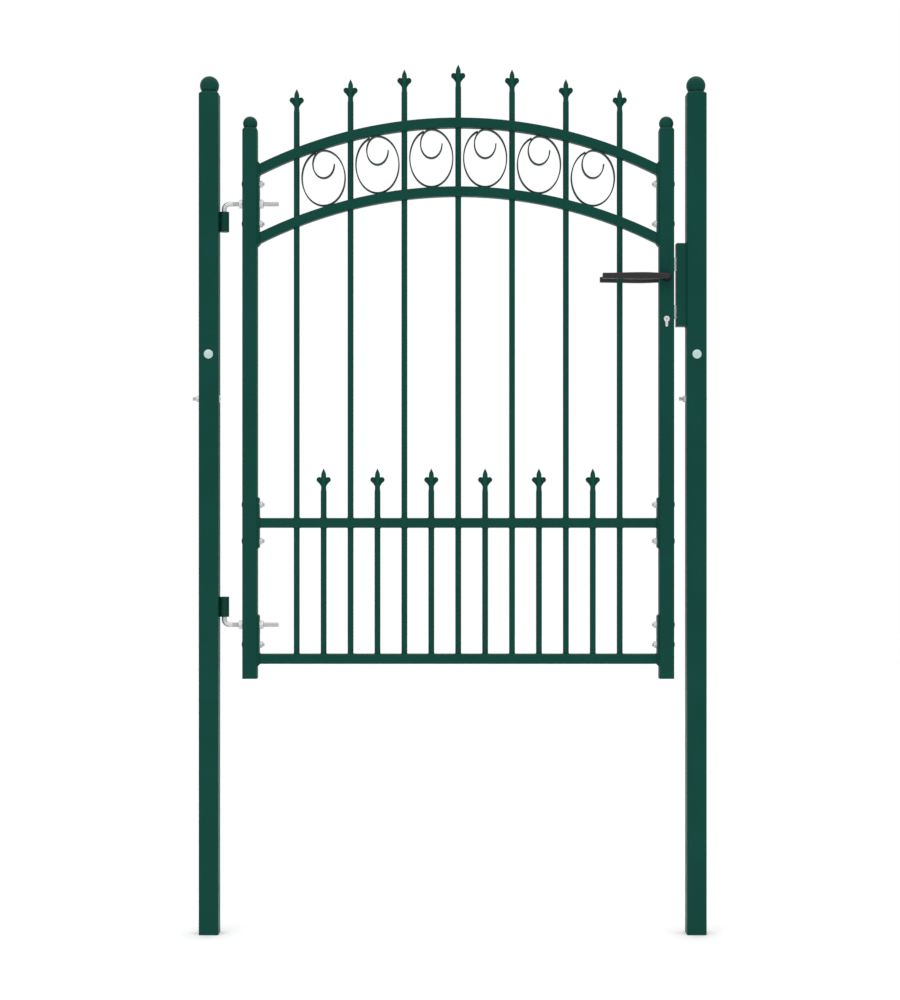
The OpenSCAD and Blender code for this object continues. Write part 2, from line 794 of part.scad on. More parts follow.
module plate_nuts() {
  color(ZINC) {
    for (z = PLATE_BOLT_ZS)
      translate([rail_x0, 0, z]) nut_x(nut_w, nut_t, bolt_d + 2 * bolt_gap);
    for (z = LATCH_BOLT_ZS)
      translate([rail_x1, 0, z]) rotate([0, 0, 180]) nut_x(nut_w, nut_t, bolt_d + 2 * bolt_gap);
  }
}

// L-bolt with its level leg at z = 0 and its upright leg hanging down from the bend
module hinge_bolt() {
  leg_foot = barrel_drop + barrel_length - hinge_bolt_short;
  union() {
    translate([hinge_x, 0, -leg_foot])
      cylinder(d = hinge_bolt_d, h = leg_foot - hinge_bend_r, $fn = ROUND);
    translate([hinge_x + hinge_bend_r, 0, -hinge_bend_r])
      rotate([90, 0, 0]) rotate([0, 0, 90])
        rotate_extrude(angle = 90, $fn = ROUND)
          translate([hinge_bend_r, 0]) circle(d = hinge_bolt_d, $fn = ROUND);
    translate([hinge_x + hinge_bend_r, 0, 0])
      rotate([0, 90, 0])
        cylinder(d = hinge_bolt_d, h = rail_x0 - plate_t + hinge_bolt_end - hinge_x - hinge_bend_r,
                 $fn = ROUND);
  }
}

module upper_hinge_bolt() {
  color(ZINC) translate([0, 0, upper_hinge_z]) hinge_bolt();
}

module lower_hinge_bolt() {
  color(ZINC) translate([0, 0, lower_hinge_z]) mirror([0, 0, 1]) hinge_bolt();
}

module hinge_nuts() {
  color(ZINC)
    for (z = HINGE_BOLT_ZS, x = [leaf_x0 - hinge_nut_t, rail_x0])
      translate([x, 0, z]) nut_x(hinge_nut_w, hinge_nut_t, hinge_bolt_d + 2 * bolt_gap);
}

// ---- lock ----

// Round part with a narrow lower part, along Y
module cylinder_profile(length, gap) {
  stem_w = cylinder_stem_w + 2 * gap;
  stem_z = -(cylinder_h - cylinder_d / 2 - cylinder_stem_w / 2);
  rotate([90, 0, 0])
    linear_extrude(length, center = true) {
      circle(d = cylinder_d + 2 * gap, $fn = ROUND);
      translate([-stem_w / 2, stem_z]) square([stem_w, -stem_z]);
      translate([0, stem_z]) circle(d = stem_w, $fn = ROUND);
    }
}

// Case inside the latch stile; its outer side is the face plate in the stile's window
module lock_case() {
  case_w = leaf_x1 - case_x0;
  color(STEEL)
    difference() {
      translate([case_x0, -case_depth / 2, case_z0])
        cube([case_w, case_depth, case_h]);
      for (z = [latch_z, dead_bolt_z])
        translate([leaf_x1 - latch_tail - latch_throw - slide_gap, -latch_t / 2 - slide_gap,
                   z - latch_h / 2 - slide_gap])
          cube([case_w, latch_t + 2 * slide_gap, latch_h + 2 * slide_gap]);
      translate([spindle_x, 0, spindle_z])
        bore_y(spindle_bore_d, case_depth + 2 * CUT);
      translate([spindle_x, 0, cylinder_z])
        cylinder_profile(case_depth + 2 * CUT, bolt_gap);
    }
}

module lock_cylinder() {
  color(ZINC)
    translate([spindle_x, 0, cylinder_z]) cylinder_profile(stile_size + 2 * cylinder_out, 0);
}

module bolt_block(z) {
  translate([leaf_x1 - latch_tail, -latch_t / 2, z - latch_h / 2])
    cube([latch_tail + latch_throw, latch_t, latch_h]);
}

// The lower corner is cut out so that the bolt clears the lock cylinder when it is drawn in
module dead_bolt() {
  notch_d = cylinder_d + 2 * cylinder_clearance;
  color(STEEL)
    difference() {
      bolt_block(dead_bolt_z);
      translate([spindle_x + latch_throw, 0, cylinder_z])
        bore_y(notch_d, latch_t + 2 * CUT);
      translate([spindle_x, -latch_t / 2 - CUT, cylinder_z - notch_d / 2])
        cube([latch_throw, latch_t + 2 * CUT, notch_d]);
    }
}

// The nose is bevelled on the back, so that the latch rides into the strike box as the leaf closes
module latch_bolt() {
  color(STEEL)
    difference() {
      bolt_block(latch_z);
      translate([leaf_x1 + latch_throw - latch_bevel, latch_t / 2, latch_z - latch_h / 2 - CUT])
        linear_extrude(latch_h + 2 * CUT)
          polygon([[0, CUT], [0, 0], [latch_bevel, -latch_bevel], [latch_bevel + CUT, -latch_bevel],
                   [latch_bevel + CUT, CUT]]);
    }
}

// ---- handle ----

module handle_spindle() {
  length = 2 * lever_out;
  color(STEEL)
    translate([spindle_x - spindle_w / 2, -length / 2, spindle_z - spindle_w / 2])
      cube([spindle_w, length, spindle_w]);
}

// Lever on the front: a neck over the spindle's end and a grip towards the hinge side
module lever() {
  face_y = -(stile_size / 2 + lever_gap);
  end_y = -(lever_out + lever_depth / 2);
  hole_w = spindle_w + 2 * lever_fit;
  difference() {
    union() {
      translate([0, end_y, 0]) rotate([-90, 0, 0])
        cylinder(d = lever_neck_d, h = face_y - end_y, $fn = ROUND);
      translate([0, face_y - lever_collar_h, 0]) rotate([-90, 0, 0])
        cylinder(d1 = lever_neck_d, d2 = lever_collar_d, h = lever_collar_h, $fn = ROUND);
      translate([-lever_length + lever_h / 2, end_y, -lever_h / 2])
        cube([lever_length - lever_h / 2, lever_depth, lever_h]);
      translate([-lever_length + lever_h / 2, end_y, 0]) rotate([-90, 0, 0])
        cylinder(d = lever_h, h = lever_depth, $fn = ROUND);
    }
    translate([-hole_w / 2, -lever_out, -hole_w / 2])
      cube([hole_w, lever_out, hole_w]);
  }
}

module front_lever() {
  color(BLACK) translate([spindle_x, 0, spindle_z]) lever();
}

module rear_lever() {
  color(BLACK) translate([spindle_x, 0, spindle_z]) mirror([0, 1, 0]) lever();
}

// ---- assembly ----

hinge_post();
latch_post();
hinge_post_cap();
latch_post_cap();
upper_hinge_barrel();
lower_hinge_barrel();
strike_box();
post_bolts();
post_nuts();
hinge_stile();
latch_stile();
hinge_stile_cap();
latch_stile_cap();
top_arch();
lower_arch();
middle_rail();
bottom_rail();
hinge_side_plates();
latch_side_plates();
for (n = [1:tall_bars]) tall_bar(n);
for (n = [1:short_bars]) short_bar(n);
tall_spear_heads();
short_spear_heads();
for (n = [1:short_bars]) ring(n);
plate_bolts();
plate_nuts();
upper_hinge_bolt();
lower_hinge_bolt();
hinge_nuts();
lock_case();
lock_cylinder();
dead_bolt();
latch_bolt();
handle_spindle();
front_lever();
rear_lever();
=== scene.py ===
"""Looks of a spear-top steel garden gate, laid out as an add-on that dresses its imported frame."""

import math

import bmesh
import bpy
from bpy.props import FloatProperty, FloatVectorProperty, PointerProperty
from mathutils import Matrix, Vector


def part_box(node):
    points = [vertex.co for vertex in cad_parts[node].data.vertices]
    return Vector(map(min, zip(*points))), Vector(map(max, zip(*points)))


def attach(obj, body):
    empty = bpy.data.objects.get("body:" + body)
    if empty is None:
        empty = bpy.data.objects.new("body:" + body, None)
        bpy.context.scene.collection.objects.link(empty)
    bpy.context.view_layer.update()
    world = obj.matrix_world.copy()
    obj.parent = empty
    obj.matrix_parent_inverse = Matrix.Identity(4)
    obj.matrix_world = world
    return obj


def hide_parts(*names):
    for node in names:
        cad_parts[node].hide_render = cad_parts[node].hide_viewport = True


bl_info = {
    "name": "Spear-top gate",
    "version": (1, 0, 0),
    "blender": (4, 5, 0),
    "location": "3D View > Sidebar > Gate",
    "description": "Dresses the frame of a spear-top garden gate with its fittings and finishes",
    "category": "Object",
}

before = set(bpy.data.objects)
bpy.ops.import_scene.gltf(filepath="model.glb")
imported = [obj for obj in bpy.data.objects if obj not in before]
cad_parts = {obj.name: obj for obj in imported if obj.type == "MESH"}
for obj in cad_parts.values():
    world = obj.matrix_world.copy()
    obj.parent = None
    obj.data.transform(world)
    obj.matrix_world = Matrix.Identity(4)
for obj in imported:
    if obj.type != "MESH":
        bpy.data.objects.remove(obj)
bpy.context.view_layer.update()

MM = 0.001
DUST_TONE = (0.32, 0.33, 0.3, 1)
X, Y, Z = Vector((1, 0, 0)), Vector((0, 1, 0)), Vector((0, 0, 1))
TALL_BARS = sorted(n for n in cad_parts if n.startswith("tall_bar_"))
SHORT_BARS = sorted(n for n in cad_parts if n.startswith("short_bar_"))
RINGS = sorted(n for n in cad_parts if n.startswith("ring_"))
TUBE_NODES = (
    "hinge_post latch_post hinge_stile latch_stile top_arch lower_arch middle_rail bottom_rail "
    "hinge_side_plates latch_side_plates strike_box"
).split()
BARRELS = ("upper_hinge_barrel", "lower_hinge_barrel")
LOCK_NODES = ("lock_case", "dead_bolt", "latch_bolt", "handle_spindle")


# ---- places taken from the frame ----


def middle(node):
    """Centre of a node's box."""
    low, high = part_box(node)
    return (low + high) / 2


def size(node):
    """Size of a node's box."""
    low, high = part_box(node)
    return high - low


def solids(node):
    """Boxes (low, high) of the separate solids in a node, from the left and then from below."""
    bm = bmesh.new()
    bm.from_mesh(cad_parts[node].data)
    bmesh.ops.remove_doubles(bm, verts=bm.verts, dist=1e-6)
    waiting, boxes = set(bm.verts), []
    while waiting:
        island = [waiting.pop()]
        for vert in island:
            for edge in vert.link_edges:
                other = edge.other_vert(vert)
                if other in waiting:
                    waiting.remove(other)
                    island.append(other)
        spread = [[vert.co[axis] for vert in island] for axis in range(3)]
        boxes.append((Vector(map(min, spread)), Vector(map(max, spread))))
    bm.free()
    return sorted(boxes, key=lambda box: (round(box[0].x, 4), box[0].z))


# ---- mesh helpers ----


def rounded_outline(half_w, half_h, radius, steps=5):
    """Rectangle with round corners as 2D points; a circle where the radius is half of each side."""
    points = []
    for quarter, (side, rise) in enumerate(((1, 1), (-1, 1), (-1, -1), (1, -1))):
        for step in range(steps):
            turn = math.radians(90 * (quarter + (step + 0.5) / steps))
            points.append(
                (
                    side * (half_w - radius) + radius * math.cos(turn),
                    rise * (half_h - radius) + radius * math.sin(turn),
                )
            )
    return points


def lens_outline(half_w, half_h, power, steps=32):
    """Outline between a diamond (power 1) and an ellipse (power 2)."""
    points = []
    for step in range(steps):
        turn = math.tau * step / steps
        c, s = math.cos(turn), math.sin(turn)
        points.append(
            (
                half_w * math.copysign(abs(c) ** (2 / power), c),
                half_h * math.copysign(abs(s) ** (2 / power), s),
            )
        )
    return points


def skin(bm, rings, closed=False):
    """Skins a list of rings of points; the ends are capped unless the last ring joins the first."""
    rows = [[bm.verts.new(point) for point in ring] for ring in rings]
    count = len(rows[0])
    following = rows[1:] + rows[:1] if closed else rows[1:]
    for row, other in zip(rows, following):
        for i in range(count):
            j = (i + 1) % count
            bm.faces.new((row[i], row[j], other[j], other[i]))
    if not closed:
        bm.faces.new(rows[0][::-1])
        bm.faces.new(rows[-1])


def sweep(bm, path, normal, outline_at, closed=False):
    """Sweeps an outline along a path that lies in the plane with this normal."""
    last = len(path) - 1
    rings = []
    for i, point in enumerate(path):
        if closed:
            along = path[(i + 1) % len(path)] - path[i - 1]
        else:
            along = path[min(i + 1, last)] - path[max(i - 1, 0)]
        side = along.normalized().cross(normal)
        rings.append([point + u * side + v * normal for u, v in outline_at(i / last)])
    skin(bm, rings, closed)


def revolve(bm, profile_at, origin, axis, steps=48):
    """Skins profiles of (radius, height) points, one for each turn round an axis."""
    axis = Vector(axis).normalized()
    side = Z.cross(axis).normalized() if abs(axis.z) < 0.9 else X
    rise = axis.cross(side)
    columns = []
    for step in range(steps):
        turn = math.tau * step / steps
        out = math.cos(turn) * side + math.sin(turn) * rise
        columns.append(
            [bm.verts.new(origin + r * out + h * axis) for r, h in profile_at(turn)]
        )
    for column, other in zip(columns, columns[1:] + columns[:1]):
        for i in range(len(column) - 1):
            bm.faces.new((column[i], other[i], other[i + 1], column[i + 1]))
    bmesh.ops.remove_doubles(bm, verts=sum(columns, []), dist=1e-7)


def lathe(bm, profile, origin, axis, steps=48):
    """Turns one profile of (radius, height) points round an axis."""
    revolve(bm, lambda turn: profile, origin, axis, steps)


def prism(bm, outline, thickness, place):
    """Flat plate between two copies of a 2D outline; place maps (u, v, w) to a point."""
    half = thickness / 2
    skin(bm, [[place(u, v, w) for u, v in outline] for w in (-half, half)])


def on_circle(centre, radius, degrees):
    """2D point on a circle."""
    turn = math.radians(degrees)
    return (centre[0] + radius * math.cos(turn), centre[1] + radius * math.sin(turn))


def arc(centre, radius, start, end, steps):
    """2D points on an arc, with its ends, angles in degrees."""
    return [on_circle(centre, radius, start + (end - start) * i / steps) for i in range(steps + 1)]


def line(start, end, steps):
    """Points on a straight line, with its ends."""
    return [start.lerp(end, i / steps) for i in range(steps + 1)]


def bezier(corners, steps):
    """2D points on a cubic curve with these four corners, with its ends."""
    points = []
    for i in range(steps + 1):
        t = i / steps
        weights = ((1 - t) ** 3, 3 * t * (1 - t) ** 2, 3 * t * t * (1 - t), t**3)
        points.append([sum(w * p[k] for w, p in zip(weights, corners)) for k in range(2)])
    return points


def stud_profile(radius, half_height):
    """(radius, height) points of a round stud with domed ends, from pole to pole."""
    points = [(0, -half_height)]
    for i in range(1, 5):
        turn = math.pi / 2 * i / 4
        points.append((radius * math.sin(turn), -half_height + 0.5 * radius * (1 - math.cos(turn))))
    return points + [(r, -h) for r, h in reversed(points)]


def ease(low, high, value):
    """0 below low, 1 above high, smooth in between."""
    t = min(max((value - low) / (high - low), 0), 1)
    return t * t * (3 - 2 * t)


def finish_mesh(bm, name, sharp_angle=40):
    """Mesh from a bmesh, smooth but for the edges sharper than this angle in degrees."""
    bmesh.ops.recalc_face_normals(bm, faces=bm.faces)
    mesh = bpy.data.meshes.new(name)
    bm.to_mesh(mesh)
    bm.free()
    mesh.shade_smooth()
    mesh.set_sharp_from_angle(angle=math.radians(sharp_angle))
    return mesh


def place_piece(mesh, name, finish, body, replaced, at=None):
    """Links a piece, hangs it on a body and hides the nodes it stands for."""
    if not mesh.materials:
        mesh.materials.append(material(finish))
    piece = bpy.data.objects.new(name, mesh)
    bpy.context.scene.collection.objects.link(piece)
    if at is not None:
        piece.location = at
    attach(piece, body)
    if replaced:
        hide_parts(*replaced)


def add_piece(bm, name, finish, body, sharp_angle, *replaced):
    """Makes one piece from a bmesh and places it."""
    place_piece(finish_mesh(bm, name, sharp_angle), name, finish, body, replaced)


# ---- settings ----


def length(name, description, default):
    """Length property in metres."""
    return FloatProperty(
        name=name,
        description=description,
        default=default,
        min=0,
        precision=5,
        subtype="DISTANCE",
        unit="LENGTH",
    )


def colour(name, description, default):
    """Linear colour property."""
    return FloatVectorProperty(
        name=name,
        description=description,
        default=default,
        min=0,
        max=1,
        size=3,
        subtype="COLOR",
    )


def angle(name, description, degrees):
    """Angle property, from degrees."""
    start = math.radians(degrees)
    return FloatProperty(name=name, description=description, default=start, subtype="ANGLE")


def share(name, description, default):
    """Plain number from 0 to 1."""
    return FloatProperty(
        name=name, description=description, default=default, min=0, max=1, subtype="FACTOR"
    )


class SpearSettings(bpy.types.PropertyGroup):
    blade_width: length("Blade width", "Widest part of the blade", 10.2 * MM)
    blade_flatness: share("Blade flatness", "Depth of the blade as a share of its width", 0.6)
    blade_length: length("Blade length", "From the tip to the blade's widest part", 15 * MM)
    neck_width: length("Neck width", "Diameter of the neck under the scrolls", 10.6 * MM)
    socket_length: length("Socket length", "Height of the flare down to the bar", 7 * MM)
    scroll_diameter: length("Scroll diameter", "Outer diameter of a side scroll", 11.3 * MM)
    scroll_top: length("Scroll top", "From the tip down to the scrolls' tops", 17.4 * MM)
    scroll_strip: length("Scroll strip", "Thickness of the rolled strip", 2.2 * MM)
    scroll_depth: length("Scroll depth", "Width of the strip, front to back", 6 * MM)
    web_depth: length("Web depth", "Thickness of the web inside a scroll", 3.2 * MM)
    root: length("Root", "From the tip down to where the scrolls leave the neck", 39.3 * MM)


class RingSettings(bpy.types.PropertyGroup):
    strip: length("Strip", "Thickness of the strip", 2.5 * MM)
    gap: length("Gap", "Between the strip's end and the curl it butts against", 0.25 * MM)
    curl_width: length("Curl width", "Outer width of the inner curl", 46.2 * MM)
    end_turn: angle("End turn", "Turn from the oval's top at which its strip ends", 340)
    end_ease: angle("End easing", "Turn over which the strip bends in to the curl", 42)
    butt_turn: angle("Butt turn", "Turn from the curl's top at which the strip's end meets it", 322)
    edge_round: length("Edge rounding", "Radius of the strip's long edges", 0.5 * MM)


class CapSettings(bpy.types.PropertyGroup):
    shoulder: length("Shoulder", "Height of the sloped shoulder", 7.5 * MM)
    lip: length("Lip", "Height of the upright lip under the shoulder", 1.2 * MM)
    plug: length("Plug", "Depth of the plug inside the tube", 14 * MM)
    groove: length("Groove", "Depth of the groove round the neck", 0.9 * MM)
    wall: length("Wall", "Wall of the tube the plug goes into", 1.6 * MM)
    post_ball: length("Post ball", "Diameter of a post cap's ball", 39 * MM)
    stile_ball: length("Stile ball", "Diameter of a stile cap's ball", 29.4 * MM)


class FastenerSettings(bpy.types.PropertyGroup):
    bolt: length("Bolt", "Diameter of the plate and post bolts", 8 * MM)
    bolt_pitch: length("Bolt pitch", "Thread pitch of the plate and post bolts", 1.25 * MM)
    hinge_bolt: length("Hinge bolt", "Diameter of the hinge bolts", 10 * MM)
    hinge_pitch: length("Hinge pitch", "Thread pitch of the hinge bolts", 1.5 * MM)
    bend: length("Bend", "Radius of a hinge bolt's bend at its middle line", 11 * MM)
    plain: length("Plain length", "From the bend's end to the first thread", 6 * MM)
    head_rim: length("Head rim", "Height of the upright rim of a round head", 0.5 * MM)
    dome: length("Dome", "Height of a sideways bolt's round head", 2.6 * MM)
    wide_dome: length("Wide dome", "Height of a front-to-back bolt's round head", 3 * MM)


class LeverSettings(bpy.types.PropertyGroup):
    neck: length("Neck", "Diameter of the round neck", 14 * MM)
    collar: length("Collar", "Diameter of the flared collar against the stile", 19 * MM)
    collar_height: length("Collar height", "Height of the flared collar", 6 * MM)
    grip_depth: length("Grip depth", "Depth of the grip, front to back", 12 * MM)
    grip_height: length("Grip height", "Height of the grip where it is thickest", 14 * MM)
    tip_height: length("Tip height", "Height of the grip at its free end", 11.5 * MM)
    swell: share("Swell", "Where the grip is thickest, as a share of its length", 0.33)
    crease: length("Crease", "Depth of the crease along the grip", 0.5 * MM)
    edge_round: length("Edge rounding", "Radius of the grip's long edges", 2.8 * MM)
    end_round: length("End rounding", "Radius of the grip's end", 1.6 * MM)


class LockSettings(bpy.types.PropertyGroup):
    stem: length("Stem", "Width of the cylinder's lower part", 5.5 * MM)
    plug: length("Plug", "Diameter of the turning plug", 9 * MM)
    keyway: length("Keyway", "Height of the keyway", 7 * MM)
    screw: length("Screw", "Diameter of the face plate's screws", 8 * MM)
    edge_round: length("Edge rounding", "Radius of the cylinder's edges", 0.5 * MM)


class WeldSettings(bpy.types.PropertyGroup):
    bead: length("Bead", "Size of a weld bead", 1.5 * MM)
    ripple: share("Ripple", "Depth of the ripples in a bead", 0.18)
    ripple_length: length("Ripple length", "Distance between ripples", 1.8 * MM)
    arch_radius: length("Arch radius", "Radius of the top side of an arch", 0.92)


class FinishSettings(bpy.types.PropertyGroup):
    coating: colour("Coating", "Green powder coat", (0.0035, 0.055, 0.041))
    ring_coating: colour("Ring coating", "Powder coat on the thin rings", (0.02, 0.045, 0.038))
    # The main green made 0.82 times as dark: painted shade on the hinge barrels, the plate bolts' heads
    # and the weld beads.
    painted_shade_coating: colour("Weld coating", "Powder coat over the weld beads", (0.00287, 0.0451, 0.0336))
    zinc: colour("Zinc", "Bright zinc plating", (0.67, 0.68, 0.68))
    dull_zinc: colour("Dull zinc", "Plating of the front-to-back bolts' heads", (0.5, 0.66, 0.61))
    lever: colour("Lever", "Black lever", (0.0205, 0.0192, 0.021))
    # A black plastic collar, made darker than the lever to paint the shade round the lever's hub.
    collar: colour("Collar", "Black plastic of the lever's collar", (0.014, 0.015, 0.015))
    steel: colour("Lock steel", "Plated steel of the lock", (0.9, 0.94, 0.92))
    nickel: colour("Nickel", "Satin nickel of the lock cylinder", (0.78, 0.73, 0.73))
    keyway: colour("Keyway", "Shade inside the keyway", (0.02, 0.02, 0.02))
    floor: colour("Floor", "Plain pale floor", (0.9, 0.9, 0.9))
    coating_roughness: share("Coating roughness", "Roughness of the powder coat", 0.42)
    peel: length("Peel", "Height of the powder coat's fine texture", 0.03 * MM)


class StageSettings(bpy.types.PropertyGroup):
    distance: length("Camera distance", "From the camera to the gate's middle plane", 4.1)
    height: length("Camera height", "Height of the camera", 0.8837)
    across: length("Camera place", "Place of the camera from the hinge post", 0.4905)
    view_height: length("View height", "Height that the view takes in at the gate", 2.04)
    key: FloatProperty(name="Key", description="Power of the key light", default=20, unit="POWER")
    fill: FloatProperty(name="Fill", description="Power of the fill lights", default=8, unit="POWER")
    sky: FloatProperty(name="Sky", description="Brightness of the soft room overhead", default=1.5)
    walls: FloatProperty(name="Walls", description="Brightness of the room at eye level", default=0.45)


class GateSettings(bpy.types.PropertyGroup):
    spear: PointerProperty(type=SpearSettings)
    ring: PointerProperty(type=RingSettings)
    cap: PointerProperty(type=CapSettings)
    fastener: PointerProperty(type=FastenerSettings)
    lever: PointerProperty(type=LeverSettings)
    lock: PointerProperty(type=LockSettings)
    weld: PointerProperty(type=WeldSettings)
    finish: PointerProperty(type=FinishSettings)
    stage: PointerProperty(type=StageSettings)


# ---- finishes ----


def new_group(name, inputs):
    """Surface group with these inputs; its input sockets, and its output node's sockets."""
    group = bpy.data.node_groups.new(name, "ShaderNodeTree")
    for title, default in inputs.items():
        kind = "NodeSocketFloat" if isinstance(default, float) else "NodeSocketColor"
        socket = group.interface.new_socket(name=title, in_out="INPUT", socket_type=kind)
        socket.default_value = default
    for title in ("Color", "Roughness", "Height"):
        kind = "NodeSocketColor" if title == "Color" else "NodeSocketFloat"
        group.interface.new_socket(name=title, in_out="OUTPUT", socket_type=kind)
    given = group.nodes.new("NodeGroupInput").outputs
    return group, given, group.nodes.new("NodeGroupOutput").inputs


def node(tree, kind, inputs=None, **values):
    """New node with its settings and its inputs' values or links."""
    made = tree.nodes.new(kind)
    for key, value in values.items():
        setattr(made, key, value)
    for key, value in (inputs or {}).items():
        if isinstance(value, bpy.types.NodeSocket):
            tree.links.new(value, made.inputs[key])
        else:
            made.inputs[key].default_value = value
    return made


def object_space(tree):
    """Place in the object's own space, in metres."""
    return node(tree, "ShaderNodeTexCoord").outputs["Object"]


def noise(tree, scale, detail=3.0, roughness=0.55):
    """Noise over the object's own space, in waves per metre."""
    settings = {"Vector": object_space(tree), "Scale": scale, "Detail": detail, "Roughness": roughness}
    return node(tree, "ShaderNodeTexNoise", settings).outputs["Fac"]


def math_node(tree, operation, first, second=0.0):
    """Result of a math node."""
    return node(tree, "ShaderNodeMath", {0: first, 1: second}, operation=operation).outputs[0]


def remap(tree, value, low, high):
    """Maps 0.3..0.7, where most noise lies, to low..high."""
    settings = {"Value": value, "From Min": 0.3, "From Max": 0.7, "To Min": low, "To Max": high}
    return node(tree, "ShaderNodeMapRange", settings).outputs["Result"]


def mixed(tree, factor, first, second, blend_type="MIX"):
    """Mix of two colours."""
    colours = {"Factor": factor, 6: first, 7: second}
    made = node(tree, "ShaderNodeMix", colours, data_type="RGBA", blend_type=blend_type)
    return made.outputs[2]


def tone_group():
    """Slow change of tone, dust that settles on upward faces, and a fine skin."""
    name = "Coat tone"
    if name in bpy.data.node_groups:
        return bpy.data.node_groups[name]
    inputs = {
        "Color": (0.01, 0.06, 0.04, 1),
        "Dust": 0.1,
        "Variation": 0.07,
        "Roughness": 0.4,
        "Skin Scale": 900.0,
    }
    group, given, result = new_group(name, inputs)
    slow = noise(group, 7.0)
    patchy = noise(group, 60.0, 4.0)
    grain = noise(group, given["Skin Scale"], 2.0, 0.5)
    low = math_node(group, "SUBTRACT", 1.0, given["Variation"])
    high = math_node(group, "ADD", 1.0, given["Variation"])
    toned = mixed(group, 1.0, given["Color"], remap(group, slow, low, high), "MULTIPLY")
    geometry = node(group, "ShaderNodeNewGeometry")
    facing = node(group, "ShaderNodeSeparateXYZ", {0: geometry.outputs["Normal"]})
    settings = {"Value": facing.outputs["Z"], "From Min": 0.6, "From Max": 1.0}
    upward = node(group, "ShaderNodeMapRange", settings).outputs["Result"]
    settled = math_node(group, "MULTIPLY", upward, remap(group, patchy, 0.4, 1.0))
    dust = math_node(group, "MULTIPLY", settled, given["Dust"])
    uneven = math_node(group, "MULTIPLY", given["Roughness"], remap(group, patchy, 0.9, 1.12))
    roughness = math_node(group, "ADD", uneven, math_node(group, "MULTIPLY", dust, 0.5))
    group.links.new(mixed(group, dust, toned, DUST_TONE), result["Color"])
    group.links.new(roughness, result["Roughness"])
    group.links.new(grain, result["Height"])
    return group


def plating_group():
    """Mottled metal: small crystals that differ a little in tone and roughness."""
    name = "Metal mottle"
    if name in bpy.data.node_groups:
        return bpy.data.node_groups[name]
    inputs = {
        "Color": (0.7, 0.7, 0.7, 1),
        "Roughness": 0.3,
        "Crystal Scale": 700.0,
        "Contrast": 0.12,
    }
    group, given, result = new_group(name, inputs)
    settings = {"Vector": object_space(group), "Scale": given["Crystal Scale"]}
    crystals = node(group, "ShaderNodeTexVoronoi", settings).outputs["Color"]
    crystal = node(group, "ShaderNodeSeparateColor", {0: crystals}).outputs[0]
    cloud = noise(group, 160.0, 4.0)
    centred = math_node(group, "SUBTRACT", math_node(group, "ADD", crystal, cloud), 1.0)
    change = math_node(group, "MULTIPLY", centred, given["Contrast"])
    duller = math_node(group, "ABSOLUTE", change)
    lightness = math_node(group, "SUBTRACT", 1.0, duller)
    group.links.new(mixed(group, 1.0, given["Color"], lightness, "MULTIPLY"), result["Color"])
    group.links.new(math_node(group, "ADD", given["Roughness"], change), result["Roughness"])
    group.links.new(cloud, result["Height"])
    return group


def coat(tint, dust, roughness, skin_scale=900.0, variation=0.07, specular=0.08, relief=0.02 * MM):
    """What a coat, plastic or paint is made of: group, its values, metalness, specular, relief."""
    values = {
        "Color": (*tint, 1),
        "Dust": dust,
        "Variation": variation,
        "Roughness": roughness,
        "Skin Scale": skin_scale,
    }
    return tone_group(), values, 0.0, specular, relief


def plating(tint, roughness, crystal_scale, contrast, metallic, specular=0.5):
    """What a bare or plated metal is made of, in the same order."""
    values = {
        "Color": (*tint, 1),
        "Roughness": roughness,
        "Crystal Scale": crystal_scale,
        "Contrast": contrast,
    }
    return plating_group(), values, metallic, specular, 0.02 * MM


def material(name):
    """The material of this name, made when it is first asked for."""
    if name in bpy.data.materials:
        return bpy.data.materials[name]
    f = bpy.context.scene.gate.finish
    recipes = {
        "green_powder_coat": coat(f.coating, 0.08, f.coating_roughness, relief=f.peel),
        "ring_powder_coat": coat(f.ring_coating, 0.08, 0.38, relief=f.peel),
        # Darker copy of the green coat, with a finer skin and lower roughness: painted shade.
        "green_coat_painted_shade": coat(f.painted_shade_coating, 0.04, 0.36, 1400.0, relief=0.05 * MM),
        "green_moulded_plastic": coat(f.coating, 0.05, 0.46, 2200.0, relief=0.015 * MM),
        "moulded_black": coat(f.lever, 0.02, 0.45, 1800.0, specular=0.3),
        "black_collar_painted_shade": coat(f.collar, 0.02, 0.5, 1800.0, specular=0.06),
        "pale_floor": coat(f.floor, 0.0, 0.8, 400.0, 0.004, 0.1, relief=0.01 * MM),
        "bright_zinc": plating(f.zinc, 0.4, 900.0, 0.09, 0.6),
        "dull_zinc": plating(f.dull_zinc, 0.5, 900.0, 0.1, 0.3),
        "satin_lock_steel": plating(f.steel, 0.4, 1500.0, 0.06, 0.9),
        "satin_nickel": plating(f.nickel, 0.35, 2600.0, 0.06, 0.6),
        "keyway_shadow": plating(f.keyway, 0.6, 3000.0, 0.1, 0.0, 0.08),
    }
    group, values, metallic, specular, relief = recipes[name]
    made = bpy.data.materials.new(name)
    made.use_nodes = True
    tree = made.node_tree
    shader = tree.nodes["Principled BSDF"]
    surface = node(tree, "ShaderNodeGroup", values, node_tree=group).outputs
    bump = node(tree, "ShaderNodeBump", {"Height": surface["Height"], "Distance": relief})
    tree.links.new(surface["Color"], shader.inputs["Base Color"])
    tree.links.new(surface["Roughness"], shader.inputs["Roughness"])
    tree.links.new(bump.outputs["Normal"], shader.inputs["Normal"])
    shader.inputs["Metallic"].default_value = metallic
    shader.inputs["Specular IOR Level"].default_value = specular
    made.diffuse_color = values["Color"]
    return made


# ---- operators ----


